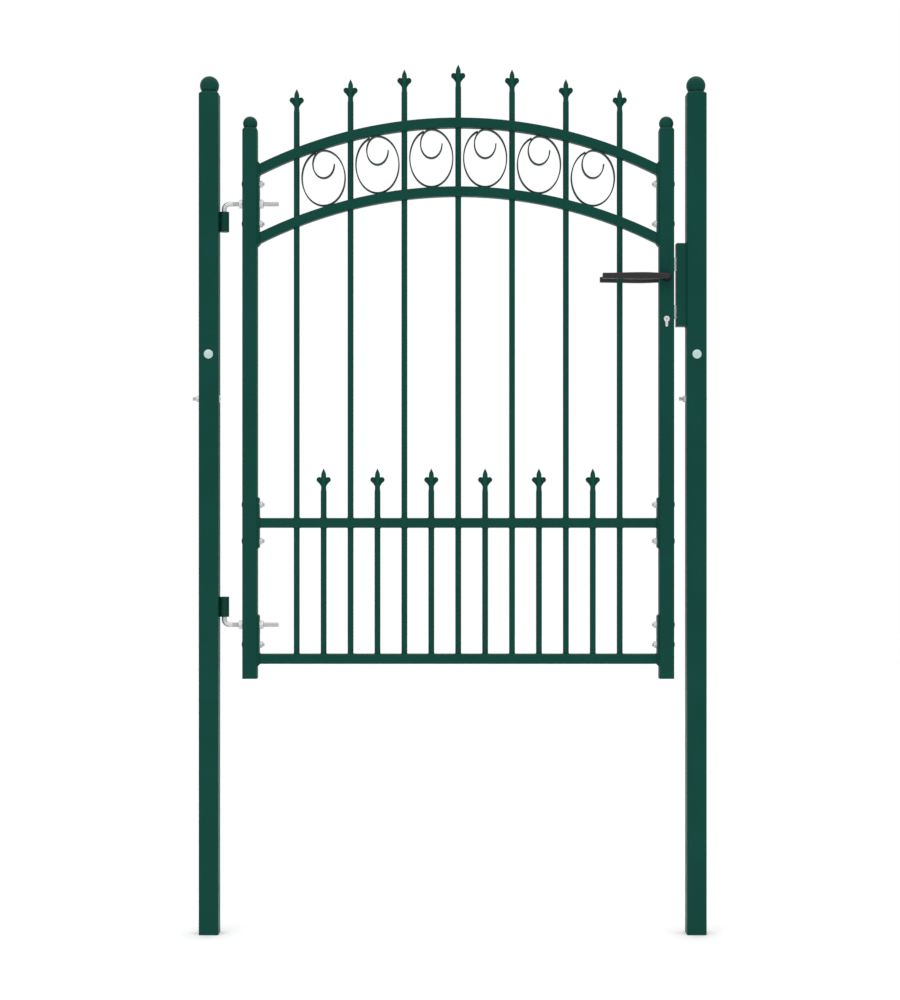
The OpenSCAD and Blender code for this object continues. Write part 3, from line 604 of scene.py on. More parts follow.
class GATE_OT_coat_frame(bpy.types.Operator):
    """Give the nodes of the frame that stay their finishes"""

    bl_idname = "gate.coat_frame"
    bl_label = "Coat the frame"

    def execute(self, context):
        finishes = dict.fromkeys(TUBE_NODES + TALL_BARS + SHORT_BARS, "green_powder_coat")
        # The hinge barrels take the darker green, which paints shade on them.
        finishes |= dict.fromkeys(BARRELS, "green_coat_painted_shade")
        finishes |= dict.fromkeys(LOCK_NODES, "satin_lock_steel")
        for name, finish in finishes.items():
            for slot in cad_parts[name].material_slots:
                slot.material = material(finish)
        return {"FINISHED"}


class GATE_OT_add_spear_heads(bpy.types.Operator):
    """Put a spear head with two rolled scrolls on each bar"""

    bl_idname = "gate.add_spear_heads"
    bl_label = "Spear heads"

    def blade(self, bm, s, head_h, bar_r):
        """Blade, neck and socket as one loft from the tip down."""
        # Depths of the rings below the tip, closer together where the outline turns fast.
        downs = [0, 0.3, 0.8, 1.6, 2.6, 4, 5.5, 7, 8.5, 10, 11.5, 13, 15, 17, 19, 21, 23, 26, 30, 35]
        downs = [d * MM for d in downs]
        flare, flare_steps = head_h - s.socket_length, 6
        downs += [flare + s.socket_length * k / flare_steps for k in range(flare_steps + 1)]
        blunt_tip, neck_taper, socket_rim = 0.3 * MM, 12 * MM, 1 * MM
        ridged, rounded = 1.25, 2.0
        ridge_end, round_start = s.blade_length - 4 * MM, s.blade_length + 8 * MM
        rings = []
        for down in downs:
            swell = math.sin(math.pi / 2 * min((down + blunt_tip) / s.blade_length, 1)) ** 1.1
            to_neck = ease(s.blade_length, s.blade_length + neck_taper, down)
            half_w = s.blade_width / 2 * swell
            half_w += (s.neck_width / 2 - half_w) * to_neck
            half_d = half_w * (s.blade_flatness + (1 - s.blade_flatness) * to_neck)
            to_bar = ease(flare, head_h - socket_rim, down)
            half_w += (bar_r - half_w) * to_bar
            half_d += (bar_r - half_d) * to_bar
            power = ridged + (rounded - ridged) * ease(ridge_end, round_start, down)
            rings.append([Vector((u, v, -down)) for u, v in lens_outline(half_w, half_d, power)])
        skin(bm, rings)

    def scroll(self, bm, s, side, reach):
        """Strip that leaves the neck, rolls over and ends in an eye, with a thin web inside."""
        roll_r = (s.scroll_diameter - s.scroll_strip) / 2
        eye = (reach - s.scroll_diameter / 2, -s.scroll_top - s.scroll_diameter / 2)
        start, top, end = -55, 95, 400
        closing, inward_steps = 0.72, 36
        sunk, web_rise, eye_r, eye_proud = 1.5 * MM, 0.8 * MM, 1.5 * MM, 0.3 * MM
        joint = on_circle(eye, roll_r, start)
        lead = math.radians(start)
        pull = 4.5 * MM
        root = (s.neck_width / 2 - sunk, -s.root)
        rise = (root[0] + 0.5 * MM, root[1] + 3.5 * MM)
        before_joint = (joint[0] + pull * math.sin(lead), joint[1] - pull * math.cos(lead))
        tail = bezier((root, rise, before_joint, joint), 10)
        over = arc(eye, roll_r, start, top, 16)
        inward = []
        for i in range(1, inward_steps + 1):
            t = i / inward_steps
            inward.append(on_circle(eye, roll_r * (1 - closing * t), top + (end - top) * t))
        path = [Vector((side * u, 0, v)) for u, v in tail + over[1:] + inward]

        def strip(t):
            """Outline of the strip, which thins towards both ends."""
            thick = s.scroll_strip / 2 * (0.55 + 0.45 * ease(0, 0.2, t)) * (1 - 0.25 * ease(0.6, 1, t))
            return rounded_outline(thick, s.scroll_depth / 2, 0.8 * thick, 3)

        sweep(bm, path, Y * side, strip)
        pin = stud_profile(eye_r, s.scroll_depth / 2 + eye_proud)
        lathe(bm, pin, Vector((side * eye[0], 0, eye[1])), Y, 20)
        edge = over[::-1] + tail[::-1]
        web = [(0, -s.scroll_top + web_rise)] + edge + [(0, -s.root)]
        prism(bm, web, s.web_depth, lambda u, v, w: Vector((side * u, w, v)))

    def execute(self, context):
        s = context.scene.gate.spear
        head_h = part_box("tall_spear_heads")[1].z - max(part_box(n)[1].z for n in TALL_BARS)
        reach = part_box("short_spear_heads")[1].x - middle(SHORT_BARS[-1]).x
        bm = bmesh.new()
        self.blade(bm, s, head_h, size(TALL_BARS[0]).x / 2)
        for side in (-1, 1):
            self.scroll(bm, s, side, reach)
        mesh = finish_mesh(bm, "spear_head", 50)
        for bars, kind in ((TALL_BARS, "tall"), (SHORT_BARS, "short")):
            for number, bar in enumerate(bars, 1):
                tip = Vector((middle(bar).x, 0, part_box(bar)[1].z + head_h))
                name = f"{kind}_spear_head_{number}"
                place_piece(mesh, name, "green_powder_coat", "leaf", [f"{kind}_spear_heads"], tip)
        return {"FINISHED"}


class GATE_OT_add_rings(bpy.types.Operator):
    """Roll the oval rings of the frieze, each from one strip with a curl inside"""

    bl_idname = "gate.add_rings"
    bl_label = "Ring frieze"

    def strip_path(self, half_w, half_h, s):
        """Middle line: round the inner curl, then round the oval until it butts on the curl."""
        curl_a, curl_b = (s.curl_width - s.strip) / 2, half_h / 2

        def oval(a, b, turn):
            return Vector((a * math.sin(turn), b * math.cos(turn)))

        lift = Vector((0, half_h - curl_b))
        outward = oval(curl_b, curl_a, s.butt_turn).normalized()
        butt = oval(curl_a, curl_b, s.butt_turn) + lift + outward * (s.strip + s.gap)
        shift = butt - oval(half_w, half_h, s.end_turn)
        curl_start, curl_end = 90, 360
        curl_steps, oval_steps = 90, 200
        path = []
        for i in range(curl_steps):
            turn = math.radians(curl_start + (curl_end - curl_start) * i / curl_steps)
            path.append(oval(curl_a, curl_b, turn) + lift)
        for i in range(oval_steps + 1):
            turn = s.end_turn * i / oval_steps
            bend = max(0, (turn - s.end_turn + s.end_ease) / s.end_ease) ** 2
            path.append(oval(half_w, half_h, turn) + bend * shift)
        return path

    def execute(self, context):
        s = context.scene.gate.ring
        for name in RINGS:
            centre, extent = middle(name), size(name)
            path = self.strip_path((extent.x - s.strip) / 2, (extent.z - s.strip) / 2, s)
            outline = rounded_outline(s.strip / 2, extent.y / 2, s.edge_round, 3)
            bm = bmesh.new()
            points = [centre + Vector((p.x, 0, p.y)) for p in path]
            sweep(bm, points, Y, lambda t: outline)
            add_piece(bm, f"rolled_{name}", "ring_powder_coat", "leaf", 60, name)
        return {"FINISHED"}


class GATE_OT_add_ball_caps(bpy.types.Operator):
    """Close the posts and stiles with ball caps"""

    bl_idname = "gate.add_ball_caps"
    bl_label = "Ball caps"

    def rings(self, s, half, ball_r, ball_up):
        """Rings (height, half width, corner radius) of a cap, from the plug's foot to the ball's top."""
        corner, edge, chamfer, fillet = 2.5 * MM, 0.4 * MM, 1 * MM, 0.6 * MM
        neck_r = math.sqrt(ball_r**2 - (ball_up - s.shoulder) ** 2)
        plug, waist = half - s.wall, neck_r - s.groove
        rings = [
            (-s.plug, plug - chamfer, corner),
            (-s.plug + chamfer, plug, corner),
            (0, plug, corner),
            (0, half - edge, corner),
            (edge, half, corner),
            (s.lip, half, corner),
        ]
        shoulder_steps, ball_steps = 8, 24
        for i in range(1, shoulder_steps + 1):
            t = i / shoulder_steps
            reach = half + (neck_r + fillet - half) * t
            round_off = corner + (reach - corner) * t**1.6
            rings.append((s.lip + (s.shoulder - s.lip) * t, reach, round_off))
        for up, radius in ((0.3, neck_r), (0.5, waist), (1.0, waist)):
            rings.append((s.shoulder + up * MM, radius, radius))
        first = math.asin((s.shoulder + 1.2 * MM - ball_up) / ball_r)
        for i in range(ball_steps + 1):
            turn = first + (math.pi / 2 - first) * i / ball_steps
            radius = max(ball_r * math.cos(turn), 0.05 * MM)
            rings.append((ball_up + ball_r * math.sin(turn), radius, radius))
        return rings

    def execute(self, context):
        s = context.scene.gate.cap
        for name, body, ball_d in (
            ("hinge_post_cap", "posts", s.post_ball),
            ("latch_post_cap", "posts", s.post_ball),
            ("hinge_stile_cap", "leaf", s.stile_ball),
            ("latch_stile_cap", "leaf", s.stile_ball),
        ):
            low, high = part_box(name)
            base = low.z + s.plug
            centre = middle(name)
            centre.z = base
            ball_up = high.z - ball_d / 2 - base
            tube = name.removesuffix("_cap")
            loops = []
            for up, half, corner in self.rings(s, size(tube).x / 2, ball_d / 2, ball_up):
                outline = rounded_outline(half, half, corner, 12)
                loops.append([centre + Vector((u, v, up)) for u, v in outline])
            bm = bmesh.new()
            skin(bm, loops)
            add_piece(bm, f"ball_{name}", "green_moulded_plastic", body, 42, name)
        return {"FINISHED"}


def thread_profile(turn, start, end, radius, pitch):
    """(radius, height) points of a thread at one turn, run in at its start, chamfered at its end."""
    depth, points_a_pitch = 0.55 * pitch, 6
    steps = max(2, round((end - start) / pitch * points_a_pitch))
    points = []
    for i in range(steps + 1):
        h = start + (end - start) * i / steps
        phase = (h / pitch - turn / math.tau) % 1
        groove = abs(2 * phase - 1)
        r = radius - depth * groove * ease(start, start + pitch, h)
        points.append((min(r, radius - depth + (end - h)), h))
    return points + [(0, end)]


def nut_profile(turn, across, thick, bore_r):
    """(radius, height) points of a hexagon nut at one turn; a 30 degree cone cuts its corners."""
    flat = across / 2
    face_r = 0.94 * flat
    side = math.tau / 6
    hex_r = flat / math.cos((turn + side / 2) % side - side / 2)
    drop = (hex_r - face_r) * math.tan(math.radians(30))
    lead = 0.5 * MM
    return [
        (bore_r, lead),
        (bore_r + lead, 0),
        (face_r, 0),
        (hex_r, drop),
        (hex_r, thick - drop),
        (face_r, thick),
        (bore_r + lead, thick),
        (bore_r, thick - lead),
        (bore_r, lead),
    ]


def add_nuts(name, source, bore_d, body):
    """Chamfered nuts in place of the plain ones of a node; each lies across its thin side."""
    bm = bmesh.new()
    for low, high in solids(source):
        extent = high - low
        thin = 0 if extent.x < extent.y else 1
        thick, across = extent[thin], extent[1 - thin]
        axis = Vector([float(k == thin) for k in range(3)])
        origin = (low + high) / 2 - axis * thick / 2

        def profile(turn):
            return nut_profile(turn + math.pi / 6, across, thick, bore_d / 2)

        revolve(bm, profile, origin, axis, 72)
    add_piece(bm, name, "bright_zinc", body, 24, source)


class GATE_OT_add_nuts(bpy.types.Operator):
    """Put chamfered hexagon nuts on every bolt"""

    bl_idname = "gate.add_nuts"
    bl_label = "Nuts"

    def execute(self, context):
        s = context.scene.gate.fastener
        add_nuts("chamfered_plate_nuts", "plate_nuts", s.bolt, "leaf")
        add_nuts("chamfered_hinge_nuts", "hinge_nuts", s.hinge_bolt, "leaf")
        add_nuts("chamfered_post_nuts", "post_nuts", s.bolt, "posts")
        return {"FINISHED"}


def domed_head(bm, origin, axis, head_r, head_h, rim):
    """Round head that rises behind the origin, against the bolt's axis."""
    dome = head_h - rim
    dome_r = (head_r**2 + dome**2) / (2 * dome)
    edge, dome_steps = 0.2 * MM, 12
    profile = [(0, 0), (head_r - edge, 0), (head_r, -edge), (head_r, -rim)]
    reach = math.asin(head_r / dome_r)
    for i in range(1, dome_steps + 1):
        turn = reach * (1 - i / dome_steps)
        profile.append((dome_r * math.sin(turn), -rim - dome + dome_r * (1 - math.cos(turn))))
    lathe(bm, profile, origin, axis, 48)


class GATE_OT_add_bolts(bpy.types.Operator):
    """Make the round-headed bolts through the stiles and the posts"""

    bl_idname = "gate.add_bolts"
    bl_label = "Round-headed bolts"

    def bolts(self, source, s, head_at_low):
        """Heads and threaded shanks for the bolts of a node; head_at_low(centre, k) says which end."""
        heads, shanks = bmesh.new(), bmesh.new()
        r, thread_start, under_head = s.bolt / 2, 24 * MM, 1 * MM
        for low, high in solids(source):
            extent, centre = high - low, (low + high) / 2
            k = max(range(3), key=lambda side: extent[side])
            axis = Vector([float(i == k) for i in range(3)])
            if not head_at_low(centre, k):
                axis.negate()
            head_r = min(extent[i] for i in range(3) if i != k) / 2
            head_h = s.wide_dome if k == 1 else s.dome
            face = centre - axis * (extent[k] / 2 - head_h)
            domed_head(heads, face, axis, head_r, head_h, s.head_rim)
            shank_end = extent[k] - head_h
            plain = [(0, under_head), (r, under_head)]

            def profile(turn):
                return plain + thread_profile(turn, thread_start, shank_end, r, s.bolt_pitch)

            revolve(shanks, profile, face, axis, 24)
        return heads, shanks

    def execute(self, context):
        s = context.scene.gate.fastener
        gate_middle = middle("bottom_rail").x
        leaf_bolts = self.bolts("plate_bolts", s, lambda centre, k: centre.x < gate_middle)
        post_bolts = self.bolts("post_bolts", s, lambda centre, k: k == 1)
        for name, body, head_finish, (heads, shanks) in (
            # The plate bolts' heads take the darker green, which paints shade on them.
            ("plate_bolt", "leaf", "green_coat_painted_shade", leaf_bolts),
            ("post_bolt", "posts", "dull_zinc", post_bolts),
        ):
            add_piece(heads, f"{name}_heads", head_finish, body, 30, f"{name}s")
            add_piece(shanks, f"{name}_shanks", "bright_zinc", body, 30, f"{name}s")
        return {"FINISHED"}


class GATE_OT_add_hinge_bolts(bpy.types.Operator):
    """Bend the two hinge bolts and cut the thread on their level legs"""

    bl_idname = "gate.add_hinge_bolts"
    bl_label = "Hinge bolts"

    def execute(self, context):
        s = context.scene.gate.fastener
        r, chamfer, bend_steps = s.hinge_bolt / 2, 1 * MM, 16
        for name, drop in (("upper_hinge_bolt", -1), ("lower_hinge_bolt", 1)):
            low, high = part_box(name)
            level = high.z - r if drop < 0 else low.z + r
            foot = low.z if drop < 0 else high.z
            leg_x = low.x + r
            bend_end = leg_x + s.bend
            path = [Vector((leg_x, 0, foot)), Vector((leg_x, 0, foot - drop * chamfer))]
            for i in range(bend_steps + 1):
                turn = math.pi / 2 * i / bend_steps
                x = bend_end - s.bend * math.cos(turn)
                path.append(Vector((x, 0, level + drop * s.bend * (1 - math.sin(turn)))))
            path.append(Vector((bend_end + s.plain, 0, level)))
            steps = len(path) - 1

            def section(t):
                here = r - chamfer if round(t * steps) == 0 else r
                return rounded_outline(here, here, here, 8)

            bm = bmesh.new()
            sweep(bm, path, Y, section)
            start = bend_end + s.plain
            reach = high.x - start

            def profile(turn):
                return [(0, 0)] + thread_profile(turn, 0, reach, r, s.hinge_pitch)

            revolve(bm, profile, Vector((start, 0, level)), X, 32)
            add_piece(bm, f"threaded_{name}", "bright_zinc", "leaf", 32, name)
        return {"FINISHED"}


class GATE_OT_add_levers(bpy.types.Operator):
    """Form the two lever handles, each a round neck that bends into a grip, and their collars"""

    bl_idname = "gate.add_levers"
    bl_label = "Levers"

    def creased(self, outline, deep):
        """Outline of a grip with a crease of this depth low on its front and back."""
        quarter = len(outline) // 4

        def crease(first, second, sign):
            points = []
            for share_down, dip in ((0.78, 0), (0.88, 1), (0.98, 0)):
                u, v = (a + (b - a) * share_down for a, b in zip(first, second))
                points.append((u - sign * deep * dip, v))
            return points

        back_high, back_low = outline[2 * quarter - 1], outline[2 * quarter]
        front_high, front_low = outline[0], outline[-1]
        back = crease(back_high, back_low, -1)
        front = crease(front_high, front_low, 1)
        return outline[: 2 * quarter] + back + outline[2 * quarter :] + front[::-1]

    def grip(self, bm, s, axis, neck_start, far, tip_x, front):
        """Sweeps the neck, its bend and the grip, which is thickest at the swell."""
        neck_r, half_d = s.neck / 2, s.grip_depth / 2
        grip_y = far - front * half_d
        neck_end = grip_y - front * neck_r
        path = [(axis.x, neck_start), (axis.x, (neck_start + neck_end) / 2)]
        neck_points, bend_steps, grip_steps, end_steps = len(path), 12, 24, 5
        for i in range(bend_steps + 1):
            t = math.pi / 2 * i / bend_steps
            x = axis.x + neck_r * (math.cos(t) - 1)
            path.append((x, neck_end + front * neck_r * math.sin(t)))
        bend_end = len(path)
        start, run = axis.x - neck_r, tip_x - axis.x + neck_r
        path += [(start + run * i / grip_steps, grip_y) for i in range(1, grip_steps)]
        for i in range(end_steps + 1):
            t = math.pi / 2 * i / end_steps
            path.append((tip_x + s.end_round * (1 - math.sin(t)), grip_y))
        last = len(path) - 1

        def section(t):
            i = round(t * last)
            if i < neck_points:
                return self.creased(rounded_outline(neck_r, neck_r, neck_r, 8), 0)
            blend = ease(neck_points, bend_end, i)
            along = min(max(0, (path[i][0] - start) / run), 1)
            away = along - s.swell
            thinner = away / (1 - s.swell) if away > 0 else away / s.swell
            swell = (1 + math.cos(math.pi * thinner)) / 2
            tall = s.tip_height + (s.grip_height - s.tip_height) * swell
            here_d = neck_r + (half_d - neck_r) * blend
            here_h = neck_r + (tall / 2 - neck_r) * blend
            corner = min(here_d, here_h) * (1 - blend) + s.edge_round * blend
            into_end = i - last + end_steps
            if into_end >= 0:
                shrink = s.end_round * (1 - math.cos(math.pi / 2 * into_end / end_steps))
                here_d, here_h = here_d - shrink, here_h - shrink
                corner = max(corner - shrink, 0.5 * MM)
            deep = s.crease * ease(0.15, 0.5, along)
            return self.creased(rounded_outline(here_d, here_h, corner, 8), deep)

        sweep(bm, [Vector((x, y, axis.z)) for x, y in path], Z, section)

    def collar(self, bm, s, origin, front):
        """Turns the flared collar that stands on the stile."""
        collar_r, top_r = s.collar / 2, s.neck / 2 + 0.1 * MM
        edge, flare_steps = 0.5 * MM, 12
        profile = [(0, 0), (collar_r - edge, 0)]
        for i in range(flare_steps + 1):
            t = i / flare_steps
            flare = top_r + (collar_r - top_r) * (1 - t) ** 1.7
            profile.append((flare, edge + (s.collar_height - edge) * t))
        profile.append((0, s.collar_height))
        lathe(bm, profile, origin, Y * front, 48)

    def execute(self, context):
        s = context.scene.gate.lever
        for name, front in (("front_lever", -1), ("rear_lever", 1)):
            low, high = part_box(name)
            near, far = (high.y, low.y) if front < 0 else (low.y, high.y)
            axis = Vector((high.x - s.collar / 2, near, (low.z + high.z) / 2))
            grip, collar = bmesh.new(), bmesh.new()
            self.grip(grip, s, axis, near, far, low.x, front)
            self.collar(collar, s, axis, front)
            add_piece(grip, f"formed_{name}", "moulded_black", "handle", 50, name)
            # The collar's darker black paints the shade at the lever's hub.
            add_piece(collar, f"{name}_collar", "black_collar_painted_shade", "handle", 40, name)
        return {"FINISHED"}


class GATE_OT_add_lock(bpy.types.Operator):
    """Add the lock cylinder with its plug, a sheet of painted shade for its keyway, and the face plate's
    screws
    """

    bl_idname = "gate.add_lock"
    bl_label = "Lock cylinder and screws"

    def profile(self, radius, stem_half, stem_drop, inset=0.0):
        """Outline of the cylinder: a round part over a narrow stem with a round foot."""
        radius, stem_half = radius - inset, stem_half - inset
        join = math.degrees(math.asin(stem_half / radius))
        outline = arc((0, 0), radius, -90 + join, 270 - join, 48)
        return outline + arc((0, -stem_drop), stem_half, 180, 360, 16)

    def execute(self, context):
        s = context.scene.gate.lock
        low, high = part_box("lock_cylinder")
        radius = (high.x - low.x) / 2
        centre = Vector((low.x + radius, 0, high.z - radius))
        stem_half = s.stem / 2
        stem_drop = centre.z - low.z - stem_half
        bm = bmesh.new()
        rings = []
        for y, inset in (
            (low.y, s.edge_round),
            (low.y + s.edge_round, 0),
            (high.y - s.edge_round, 0),
            (high.y, s.edge_round),
        ):
            outline = self.profile(radius, stem_half, stem_drop, inset)
            rings.append([centre + Vector((u, y, v)) for u, v in outline])
        skin(bm, rings)
        add_piece(bm, "lock_cylinder_body", "satin_nickel", "leaf", 30, "lock_cylinder")
        plug_r, proud, edge, chamfer = s.plug / 2, 0.25 * MM, 0.1 * MM, 0.3 * MM
        plugs, keyway_shades = bmesh.new(), bmesh.new()
        for face, out in ((low.y, -1), (high.y, 1)):
            origin = Vector((centre.x, face, centre.z))
            ring = [
                (plug_r + proud, -edge),
                (plug_r, proud - edge),
                (plug_r - chamfer, proud),
                (0, proud),
            ]
            lathe(plugs, ring, origin, Y * out, 48)
            # The keyway is not cut: a thin near-black sheet just proud of the plug paints the shade
            # inside it.
            # Across in mm, up as a share of half the keyway's height.
            shape = [(-0.5, 1), (0.5, 1), (0.5, 0.3), (1.0, 0.15), (1.0, -0.15), (0.4, -0.3)]
            shape += [(0.4, -1), (-0.5, -1), (-0.5, -0.2), (-0.1, 0), (-0.1, 0.2), (-0.5, 0.35)]
            outline = [(u * MM, v * s.keyway / 2) for u, v in shape]
            front = origin + Y * out * (proud + 0.02 * MM)
            prism(keyway_shades, outline, 0.06 * MM, lambda u, v, w: front + Vector((u, w, v)))
        add_piece(plugs, "lock_plugs", "satin_nickel", "leaf", 30)
        add_piece(keyway_shades, "keyway_shades", "keyway_shadow", "leaf", 30)
        self.screws(s)
        return {"FINISHED"}

    def screws(self, s):
        """Countersunk cross-head screws at the ends of the lock's face plate."""
        low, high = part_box("lock_case")
        head_r, rim, inset = s.screw / 2, 0.3 * MM, 9 * MM
        edge, cross_depth, arm_width, arm_reach = 0.2 * MM, 0.9 * MM, 0.24, 0.6

        def head(turn):
            in_arm = min(abs(math.sin(turn)), abs(math.cos(turn))) < arm_width
            dip = cross_depth if in_arm else 0.0
            return [
                (head_r, -rim),
                (head_r - edge, rim / 2),
                ((arm_reach + 0.02) * head_r, rim),
                (arm_reach * head_r, rim - dip),
                (0.25 * head_r, rim - dip),
                (0, -2 * rim),
            ]

        bm = bmesh.new()
        for z in (low.z + inset, high.z - inset):
            revolve(bm, head, Vector((high.x, 0, z)), X, 64)
        add_piece(bm, "face_plate_screws", "bright_zinc", "leaf", 30)


class GATE_OT_add_welds(bpy.types.Operator):
    """Lay the weld beads that join bars, rails, plates, rings, barrels and the strike box"""

    bl_idname = "gate.add_welds"
    bl_label = "Weld beads"

    bar_share, rail_share, tack_share, barrel_share, strike_share = 0.8, 0.9, 0.75, 1.15, 0.8

    def bead(self, bm, path, normal, w, closed, scale):
        """Low rippled bead along a path; scale is its size as a share of the common bead."""
        run = [0.0]
        for a, b in zip(path, path[1:]):
            run.append(run[-1] + (b - a).length)
        last = len(path) - 1

        def outline(t):
            travel = run[round(t * last)] / w.ripple_length
            size_here = w.bead * scale * (1 + w.ripple * math.cos(math.tau * travel))
            if not closed:
                size_here *= 0.35 + 0.65 * ease(0, 0.06, t) * ease(0, 0.06, 1 - t)
            return rounded_outline(size_here, size_here, size_here, 2)

        sweep(bm, path, normal, outline, closed)

    def bar_ring(self, bm, x, z, slope, radius, w):
        """Bead round a bar where it passes through a wall with this slope."""
        path, steps = [], 48
        for i in range(steps):
            turn = math.tau * i / steps
            across = radius * math.cos(turn)
            path.append(Vector((x + across, radius * math.sin(turn), z + slope * across)))
        self.bead(bm, path, Vector((-slope, 0, 1)).normalized(), w, True, self.bar_share)

    def execute(self, context):
        w = context.scene.gate.weld
        # Every bead takes the darker green, which paints shade along the joints.
        self.around_bars(w)
        self.at_rail_ends(w)
        self.on_rings(w)
        self.on_posts(w)
        return {"FINISHED"}

    def around_bars(self, w):
        """Rings of bead where the bars pass through the rails and arches."""
        bm = bmesh.new()
        levels = [*(corner.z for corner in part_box("middle_rail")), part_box("bottom_rail")[1].z]
        for bar in TALL_BARS + SHORT_BARS:
            for z in levels:
                self.bar_ring(bm, middle(bar).x, z, 0, size(bar).x / 2, w)
        for bar in TALL_BARS:
            x, radius = middle(bar).x, size(bar).x / 2
            for arch in ("top_arch", "lower_arch"):
                dx = x - middle(arch).x
                crown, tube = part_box(arch)[1].z, size(arch).y
                for arc_r in (w.arch_radius, w.arch_radius - tube):
                    rise = math.sqrt(arc_r**2 - dx**2)
                    self.bar_ring(bm, x, crown - w.arch_radius + rise, -dx / rise, radius, w)
        add_piece(bm, "bar_welds", "green_coat_painted_shade", "leaf", 70)

    def at_rail_ends(self, w):
        """Rectangular beads where the rails meet the end plates."""
        bm = bmesh.new()
        inset = 0.2 * MM
        for rail in ("bottom_rail", "middle_rail", "top_arch", "lower_arch"):
            low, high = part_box(rail)
            half = (high.y - low.y) / 2
            z0, z1 = low.z, high.z
            if rail.endswith("arch"):
                dx = (high.x - low.x) / 2
                base = high.z - w.arch_radius
                z0 = base + math.sqrt((w.arch_radius - 2 * half) ** 2 - dx**2)
                z1 = base + math.sqrt(w.arch_radius**2 - dx**2)
            section = ((-half, z0), (half, z0), (half, z1), (-half, z1))
            for x in (low.x + inset, high.x - inset):
                corners = [Vector((x, y, z)) for y, z in section]
                path = []
                for start, end in zip(corners, corners[1:] + corners[:1]):
                    path += line(start, end, 14)[:-1]
                self.bead(bm, path, X, w, True, self.rail_share)
        add_piece(bm, "rail_end_welds", "green_coat_painted_shade", "leaf", 70)

    def on_rings(self, w):
        """Short tacks where the rings touch the arches."""
        bm = bmesh.new()
        for name in RINGS:
            low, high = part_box(name)
            centre, half = (low + high) / 2, (high - low) / 2
            slope = (middle("top_arch").x - centre.x) / w.arch_radius
            along = Vector((1, 0, slope)) * MM
            for up in (1, -1):
                turn = math.atan2(-up * slope * half.x, half.z)
                touch = centre + Vector((half.x * math.sin(turn), 0, up * half.z * math.cos(turn)))
                for y in (low.y, high.y):
                    touch.y = y
                    path = [touch + k * along for k in (-5, -4, -3, -1.5, 0, 1.5, 3, 4, 5)]
                    self.bead(bm, path, Y, w, False, self.tack_share)
        add_piece(bm, "ring_tacks", "green_coat_painted_shade", "leaf", 70)

    def on_posts(self, w):
        """Beads that hold the hinge barrels and the strike box to the posts."""
        bm = bmesh.new()
        from_post, off_middle, from_latch_post = 0.5 * MM, 3.2 * MM, 0.3 * MM
        barrel_steps = 30
        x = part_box("hinge_post")[1].x + from_post
        for name in BARRELS:
            low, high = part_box(name)
            inset = (high.z - low.z) / (2 * barrel_steps + 2)
            for y in (-off_middle, off_middle):
                ends = [Vector((x, y, z)) for z in (low.z + inset, high.z - inset)]
                path = line(*ends, barrel_steps)
                self.bead(bm, path, Y, w, False, self.barrel_share)
        low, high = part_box("strike_box")
        x = high.x - from_latch_post
        for y in (low.y, high.y):
            path = line(Vector((x, y, low.z)), Vector((x, y, high.z)), 110)
            self.bead(bm, path, Y, w, False, self.strike_share)
        for z in (low.z, high.z):
            path = line(Vector((x, low.y, z)), Vector((x, high.y, z)), 24)
            self.bead(bm, path, Z, w, False, self.strike_share)
        add_piece(bm, "post_welds", "green_coat_painted_shade", "posts", 70)


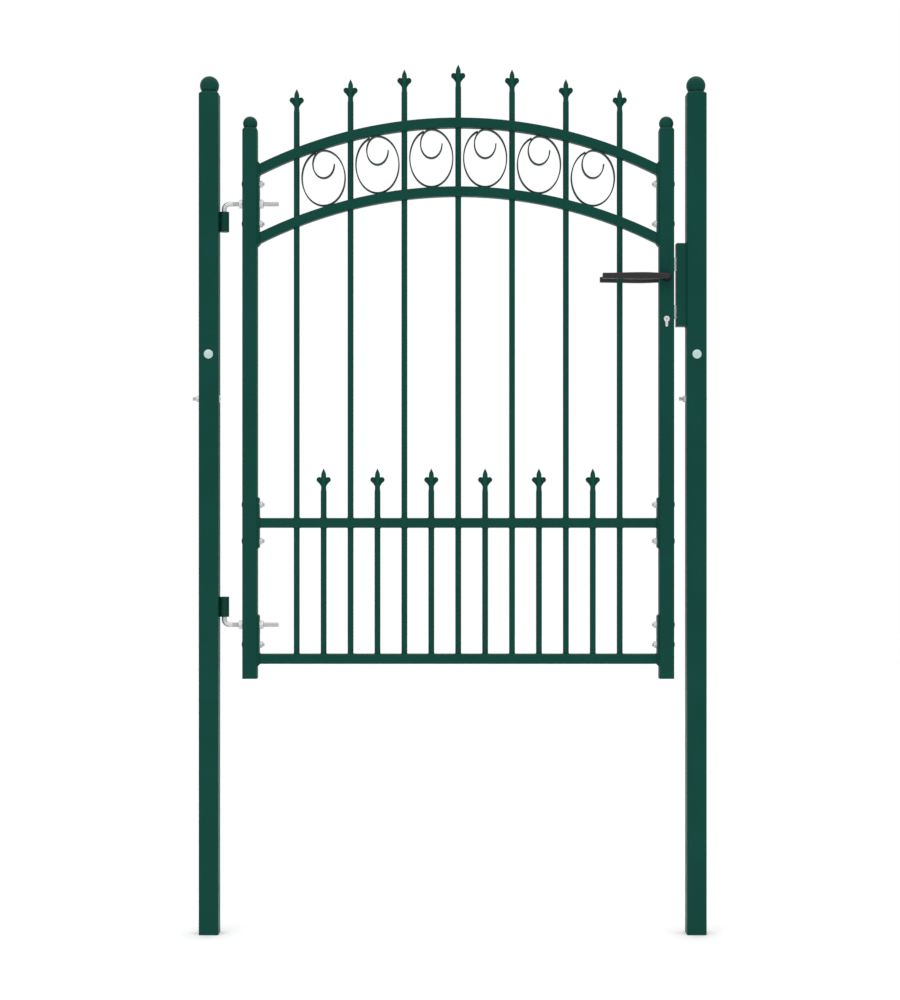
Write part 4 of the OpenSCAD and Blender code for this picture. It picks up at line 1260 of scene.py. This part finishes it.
class GATE_OT_add_stage(bpy.types.Operator):
    """Set up the floor, the lights and the camera"""

    bl_idname = "gate.add_stage"
    bl_label = "Stage"

    def softbox(self, name, place, target, width, depth, power):
        """Soft rectangular light that faces a point."""
        light = bpy.data.lights.new(name, "AREA")
        light.shape = "RECTANGLE"
        light.size, light.size_y = width, depth
        light.energy = power
        holder = bpy.data.objects.new(name, light)
        bpy.context.scene.collection.objects.link(holder)
        holder.location = place
        holder.rotation_euler = (target - place).to_track_quat("-Z", "Y").to_euler()

    def surroundings(self, s):
        """Soft pale room light; the view itself falls on plain white."""
        world = bpy.data.worlds.new("studio")
        bpy.context.scene.world = world
        world.use_nodes = True
        tree = world.node_tree
        tree.nodes.clear()
        rays = node(tree, "ShaderNodeLightPath")
        place = node(tree, "ShaderNodeTexCoord")
        height = node(tree, "ShaderNodeSeparateXYZ", {0: place.outputs["Generated"]})
        span = {"Value": height.outputs["Z"], "To Min": s.walls, "To Max": s.sky}
        brightness = node(tree, "ShaderNodeMapRange", span).outputs["Result"]
        white = (1, 1, 1, 1)
        room = node(tree, "ShaderNodeBackground", {"Color": white, "Strength": brightness})
        paper = node(tree, "ShaderNodeBackground", {"Color": white, "Strength": 1.0})
        shown = {0: rays.outputs["Is Camera Ray"], 1: room.outputs[0], 2: paper.outputs[0]}
        seen = node(tree, "ShaderNodeMixShader", shown)
        out = node(tree, "ShaderNodeOutputWorld")
        tree.links.new(seen.outputs[0], out.inputs["Surface"])

    def execute(self, context):
        s = context.scene.gate.stage
        scene = context.scene
        scene.view_settings.view_transform = "Standard"
        bm = bmesh.new()
        bmesh.ops.create_grid(bm, x_segments=8, y_segments=8, size=9)
        mesh = finish_mesh(bm, "studio_floor")
        mesh.materials.append(material("pale_floor"))
        floor = bpy.data.objects.new("studio_floor", mesh)
        scene.collection.objects.link(floor)
        centre = Vector((s.across, 0, s.height))
        for name, offset, width, depth, power in (
            ("key_light", (-2.2, -3.2, 2.4), 2.4, 2.4, s.key),
            ("fill_light", (3.0, -2.4, 1.2), 2.4, 2.4, s.fill),
            ("rear_light", (1.0, 3.4, 2.6), 3.0, 2.0, s.fill),
            ("top_light", (0, 0, 3.2), 4.0, 4.0, s.fill),
        ):
            self.softbox(name, centre + Vector(offset), centre, width, depth, power)
        self.surroundings(s)
        camera = bpy.data.cameras.new("front_camera")
        camera.sensor_width = 36
        camera.lens = camera.sensor_width * s.distance / s.view_height
        holder = bpy.data.objects.new("front_camera", camera)
        scene.collection.objects.link(holder)
        holder.location = (s.across, -s.distance, s.height)
        holder.rotation_euler = (math.pi / 2, 0, 0)
        scene.camera = holder
        return {"FINISHED"}


class GATE_PT_sidebar(bpy.types.Panel):
    """Lists the steps that dress the gate"""

    bl_idname = "GATE_PT_sidebar"
    bl_label = "Spear-top gate"
    bl_space_type = "VIEW_3D"
    bl_region_type = "UI"
    bl_category = "Gate"

    def draw(self, context):
        for step in STEPS:
            self.layout.operator(step.bl_idname)
        for theme in GateSettings.__annotations__:
            box = self.layout.box()
            box.label(text=theme.title())
            group = getattr(context.scene.gate, theme)
            for key in group.bl_rna.properties.keys():
                if key not in ("rna_type", "name"):
                    box.prop(group, key)


STEPS = (
    GATE_OT_coat_frame,
    GATE_OT_add_spear_heads,
    GATE_OT_add_rings,
    GATE_OT_add_ball_caps,
    GATE_OT_add_nuts,
    GATE_OT_add_bolts,
    GATE_OT_add_hinge_bolts,
    GATE_OT_add_levers,
    GATE_OT_add_lock,
    GATE_OT_add_welds,
    GATE_OT_add_stage,
)
CLASSES = (
    SpearSettings,
    RingSettings,
    CapSettings,
    FastenerSettings,
    LeverSettings,
    LockSettings,
    WeldSettings,
    FinishSettings,
    StageSettings,
    GateSettings,
    *STEPS,
    GATE_PT_sidebar,
)


def register():
    for cls in CLASSES:
        bpy.utils.register_class(cls)
    bpy.types.Scene.gate = PointerProperty(type=GateSettings)


def unregister():
    del bpy.types.Scene.gate
    for cls in reversed(CLASSES):
        bpy.utils.unregister_class(cls)


def main():
    """Dresses the frame step by step."""
    register()
    for step in STEPS:
        category, name = step.bl_idname.split(".")
        getattr(getattr(bpy.ops, category), name)()


if __name__ == "__main__":
    main()
